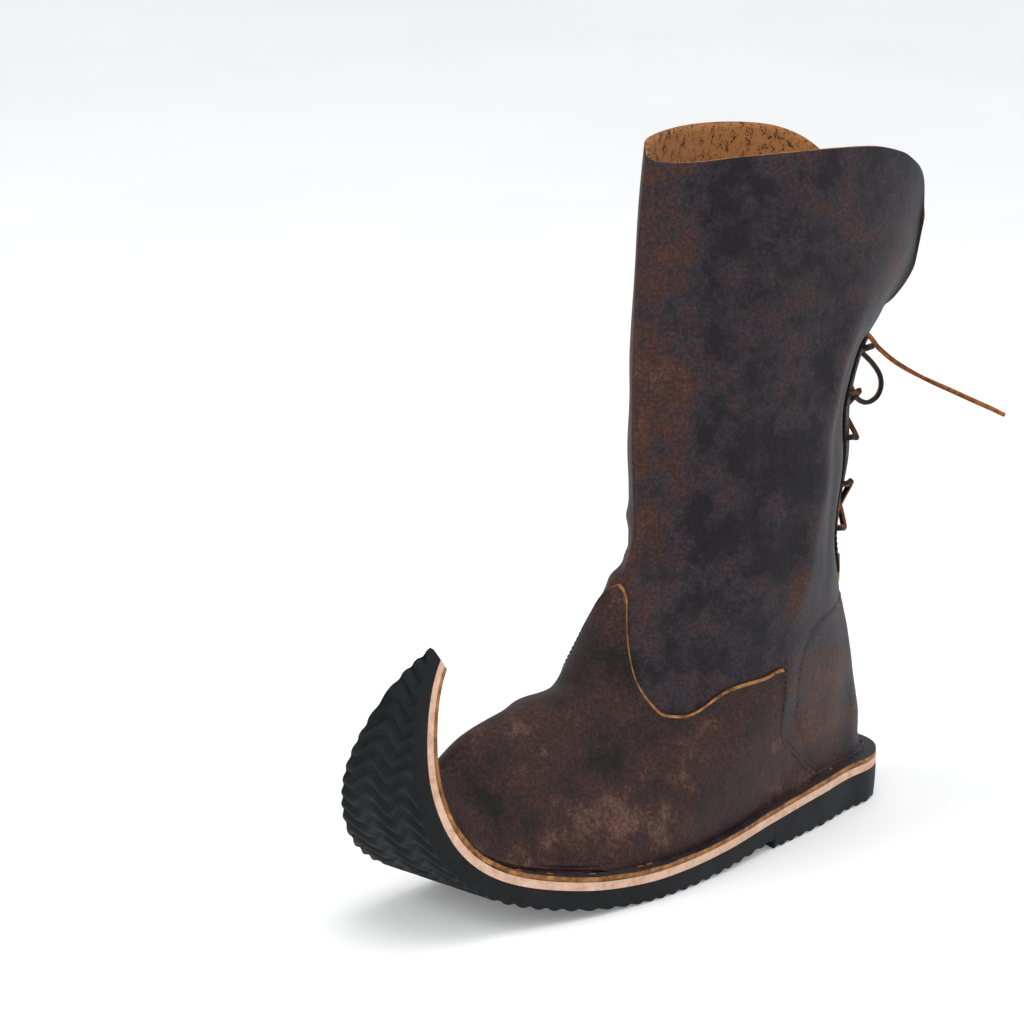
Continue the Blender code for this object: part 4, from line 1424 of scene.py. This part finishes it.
@dataclass
class Lace:
    """A square-cut thong through the ten holes, with a knot, one loop and one long end."""

    back: Back
    rise: float = 0.0004

    def hole_end(self, number: int, side: float, inside: bool) -> list[np.ndarray]:
        """The route out of a hole and on towards the slit.

        Args:
            number: The pair, 0 the lowest.
            side: 1 lateral, -1 medial.
            inside: Whether the lace runs inside the boot here.

        Returns:
            Points of the route.
        """
        here, out = self.back.hole_place(number, side)
        edge = LAST.skin(self.back.hole_level(number), 0.0, side, 0.0)
        toward = edge - here
        toward = toward - out * np.dot(toward, out)
        toward = toward / np.linalg.norm(toward)
        if inside:
            depth = LEATHER + self.rise + THONG / 2
            steps = ((0, 0.0), (0, 0.60 * depth), (0.3 * THONG, 0.97 * depth), (1.1 * THONG, 1.15 * depth))
            return [here + toward * a - out * b for a, b in steps]
        depth = 2 * FIT + FACING_WALL + self.rise + THONG / 2
        steps = ((0, 0.0), (0, 0.66 * depth), (0.3 * THONG, 1.05 * depth), (1.1 * THONG, 1.2 * depth))
        return [here + toward * a + out * b for a, b in steps] + [edge + out * (1.25 * depth)]

    def knot_place(self) -> np.ndarray:
        """The knot's middle."""
        level = self.back.hole_level(HOLES - 1)
        edges = [LAST.skin(level, 0.0, side, 0.0) for side in (1.0, -1.0)]
        return (edges[0] + edges[1]) / 2 + np.array(KNOT_STEP)

    def strand(self, side: float) -> list[np.ndarray]:
        """One half of the lace, from the lowest bar up to the knot, crossing at each pitch.

        Args:
            side: The side on which it starts.

        Returns:
            Points of the route.
        """
        route = self.hole_end(0, side, True)[::-1]
        here = side
        for number in range(HOLES - 1):
            inside = number % 2 == 1
            start = self.hole_end(number, here, inside)
            end = self.hole_end(number + 1, -here, inside)[::-1]
            middle = (start[-1] + end[0]) / 2
            lift = np.array([0.0, 0.0022 if here > 0 else -0.0006, 0.0]) * (-1 if inside else 1)
            route += start[1:] + [middle + lift] + end
            here = -here
        top = self.hole_end(HOLES - 1, here, False)
        return route + top[1:] + [self.knot_place() + np.array([0.003 * here, 0, 0.001])]

    def build(self) -> None:
        """The two strands, the bar, the knot, the loop and the long end."""
        spacing = 0.0011
        bar = self.hole_end(0, 1.0, True) + self.hole_end(0, -1.0, True)[::-1]
        pieces = [("lace_strand_lateral", self.strand(1.0)), ("lace_strand_medial", self.strand(-1.0)),
                  ("lace_lowest_bar", bar[1:-1])]
        nodes = (("lace_cross_1", "lace_cross_3"), ("lace_cross_2", "lace_cross_4"), ("lace_bar",))
        for (name, route), solids in zip(pieces, nodes):
            settle(thong(name, through(route, spacing), (0, 1, 0.3)), solids)
        place = self.knot_place()
        settle(self.knot(place), ("lace_knot",))
        loop = through([place + np.array(step) / 1000 for step in LOOP], spacing)
        end = through([place + np.array(step) / 1000 for step in LONG_END], 0.0016)
        loop_piece = thong("lace_bow_loop", loop, (1, 0, 0.1), THONG * 0.86, 0.7)
        settle(loop_piece, ("lace_loop",))
        end_piece = thong("lace_long_end", end, (1, 0, 0.3), THONG * 0.80, 2.6, (THONG_FLESH, THONG_CUT))
        settle(end_piece, ("lace_end",))
        LOG.info("loop %.1f mm, long end %.1f mm", 1000 * length_of(loop), 1000 * length_of(end))

    def knot(self, place: np.ndarray) -> bpy.types.Object:
        """An overhand knot drawn tight.

        Args:
            place: Its middle.

        Returns:
            The piece.
        """
        t = np.linspace(0, 2 * np.pi, 90)
        x = (np.sin(t) + 2 * np.sin(2 * t)) / 3 * 0.0044
        z = (np.cos(t) - 2 * np.cos(2 * t)) / 3 * 0.0040
        y = -np.sin(3 * t) * 0.0022
        line = np.stack([x, y, z], -1) + place
        return thong("lace_bow_knot", line[:-1], (0, 1, 0.2), THONG * 0.9)


# The studio


@dataclass
class Studio:
    """Pale floor, soft boxes and the camera at the photograph's angle."""

    position: tuple[float, float, float] = (1.3226, -1.4228, 0.6646)
    turn: float = 44.82
    tilt: float = 14.24
    focal_mm: float = 148.1
    dark_side: tuple[float, float, float] = (-0.86, -0.51, 0.0)

    def floor(self) -> None:
        """A wide pale floor under the boot."""
        bm = bmesh.new()
        bmesh.ops.create_grid(bm, x_segments=1, y_segments=1, size=6)
        bmesh.ops.translate(bm, vec=(0, 0, -0.0002), verts=bm.verts)
        paper = Matte(
            name="studio floor", main="#f2f2f2", other="#f6f6f5", roughness=0.9, size_mm=400, glow=0.16)
        finish_mesh("floor", bm, (paper,))

    def lamp(
        self, name: str, place: tuple[float, float, float], size: float, power: float, tint: str
    ) -> None:
        """A square soft box that faces the boot.

        Args:
            name: The lamp's name.
            place: Where it stands.
            size: Its side in metres.
            power: Its power in watts.
            tint: Its colour.
        """
        data = bpy.data.lights.new(name, "AREA")
        data.shape = "SQUARE"
        data.size = size
        data.energy = power
        data.color = linear(tint)[:3]
        lamp = bpy.data.objects.new(name, data)
        lamp.location = place
        lamp.rotation_mode = "QUATERNION"
        lamp.rotation_quaternion = (Vector((0, 0, 0.15)) - Vector(place)).to_track_quat("-Z", "Y")
        bpy.context.scene.collection.objects.link(lamp)

    def build(self) -> None:
        """Floor, world, lamps and camera."""
        self.floor()
        world = bpy.data.worlds.new("studio")
        world.use_nodes = True
        tree = world.node_tree
        direction = add(tree, "TexCoord").outputs["Generated"]
        toward_dark = {"operation": "DOT_PRODUCT", 1: self.dark_side}
        turned = add(tree, "VectorMath", toward_dark, {0: direction})
        sky = ramp(tree, turned.outputs["Value"], ((0.12, "#fcfdff"), (0.60, "#5c5e62")))
        tree.links.new(sky, tree.nodes["Background"].inputs["Color"])
        bpy.context.scene.world = world
        bpy.context.scene.view_settings.view_transform = "Standard"
        self.lamp("soft box left", (-0.9, -2.0, 1.5), 1.3, 26, "#ffffff")
        self.lamp("soft box right", (2.2, 0.0, 1.2), 1.4, 3, "#fdfeff")
        self.lamp("soft box above", (0.2, 0.1, 2.3), 1.6, 14, "#ffffff")
        data = bpy.data.cameras.new("camera")
        data.sensor_width = 36
        data.lens = self.focal_mm
        data.clip_start, data.clip_end = 0.05, 60
        camera = bpy.data.objects.new("camera", data)
        a, e = math.radians(self.turn), math.radians(self.tilt)
        right = Vector((math.cos(a), math.sin(a), 0))
        behind = Vector((math.sin(a) * math.cos(e), -math.cos(a) * math.cos(e), math.sin(e)))
        basis = Matrix((right, behind.cross(right), behind)).transposed().to_4x4()
        basis.translation = Vector(self.position)
        camera.matrix_world = basis
        bpy.context.scene.collection.objects.link(camera)
        bpy.context.scene.camera = camera


def main() -> None:
    """Builds the studio and the boot, piece by piece."""
    logging.basicConfig(level=logging.INFO, format="%(message)s")
    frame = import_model()
    Studio().build()
    for name in ("insole",):
        mesh = frame["nodes"][name].data
        mesh.materials.clear()
        mesh.materials.append(FLESH_SIDE.get())
    back = Back()
    punches = back.punches()
    Upper().build(punches)
    back.facings(punches)
    bpy.data.objects.remove(punches)
    vamp = Vamp()
    vamp.build()
    vamp.seam()
    back.seam()
    back.stiffener_rows()
    threads = Threads()
    threads.sole_row()
    threads.front_knot()
    sole = Sole()
    sole.outsole()
    sole.midsole()
    Lace(back).build()
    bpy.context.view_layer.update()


if __name__ == "__main__":
    main()
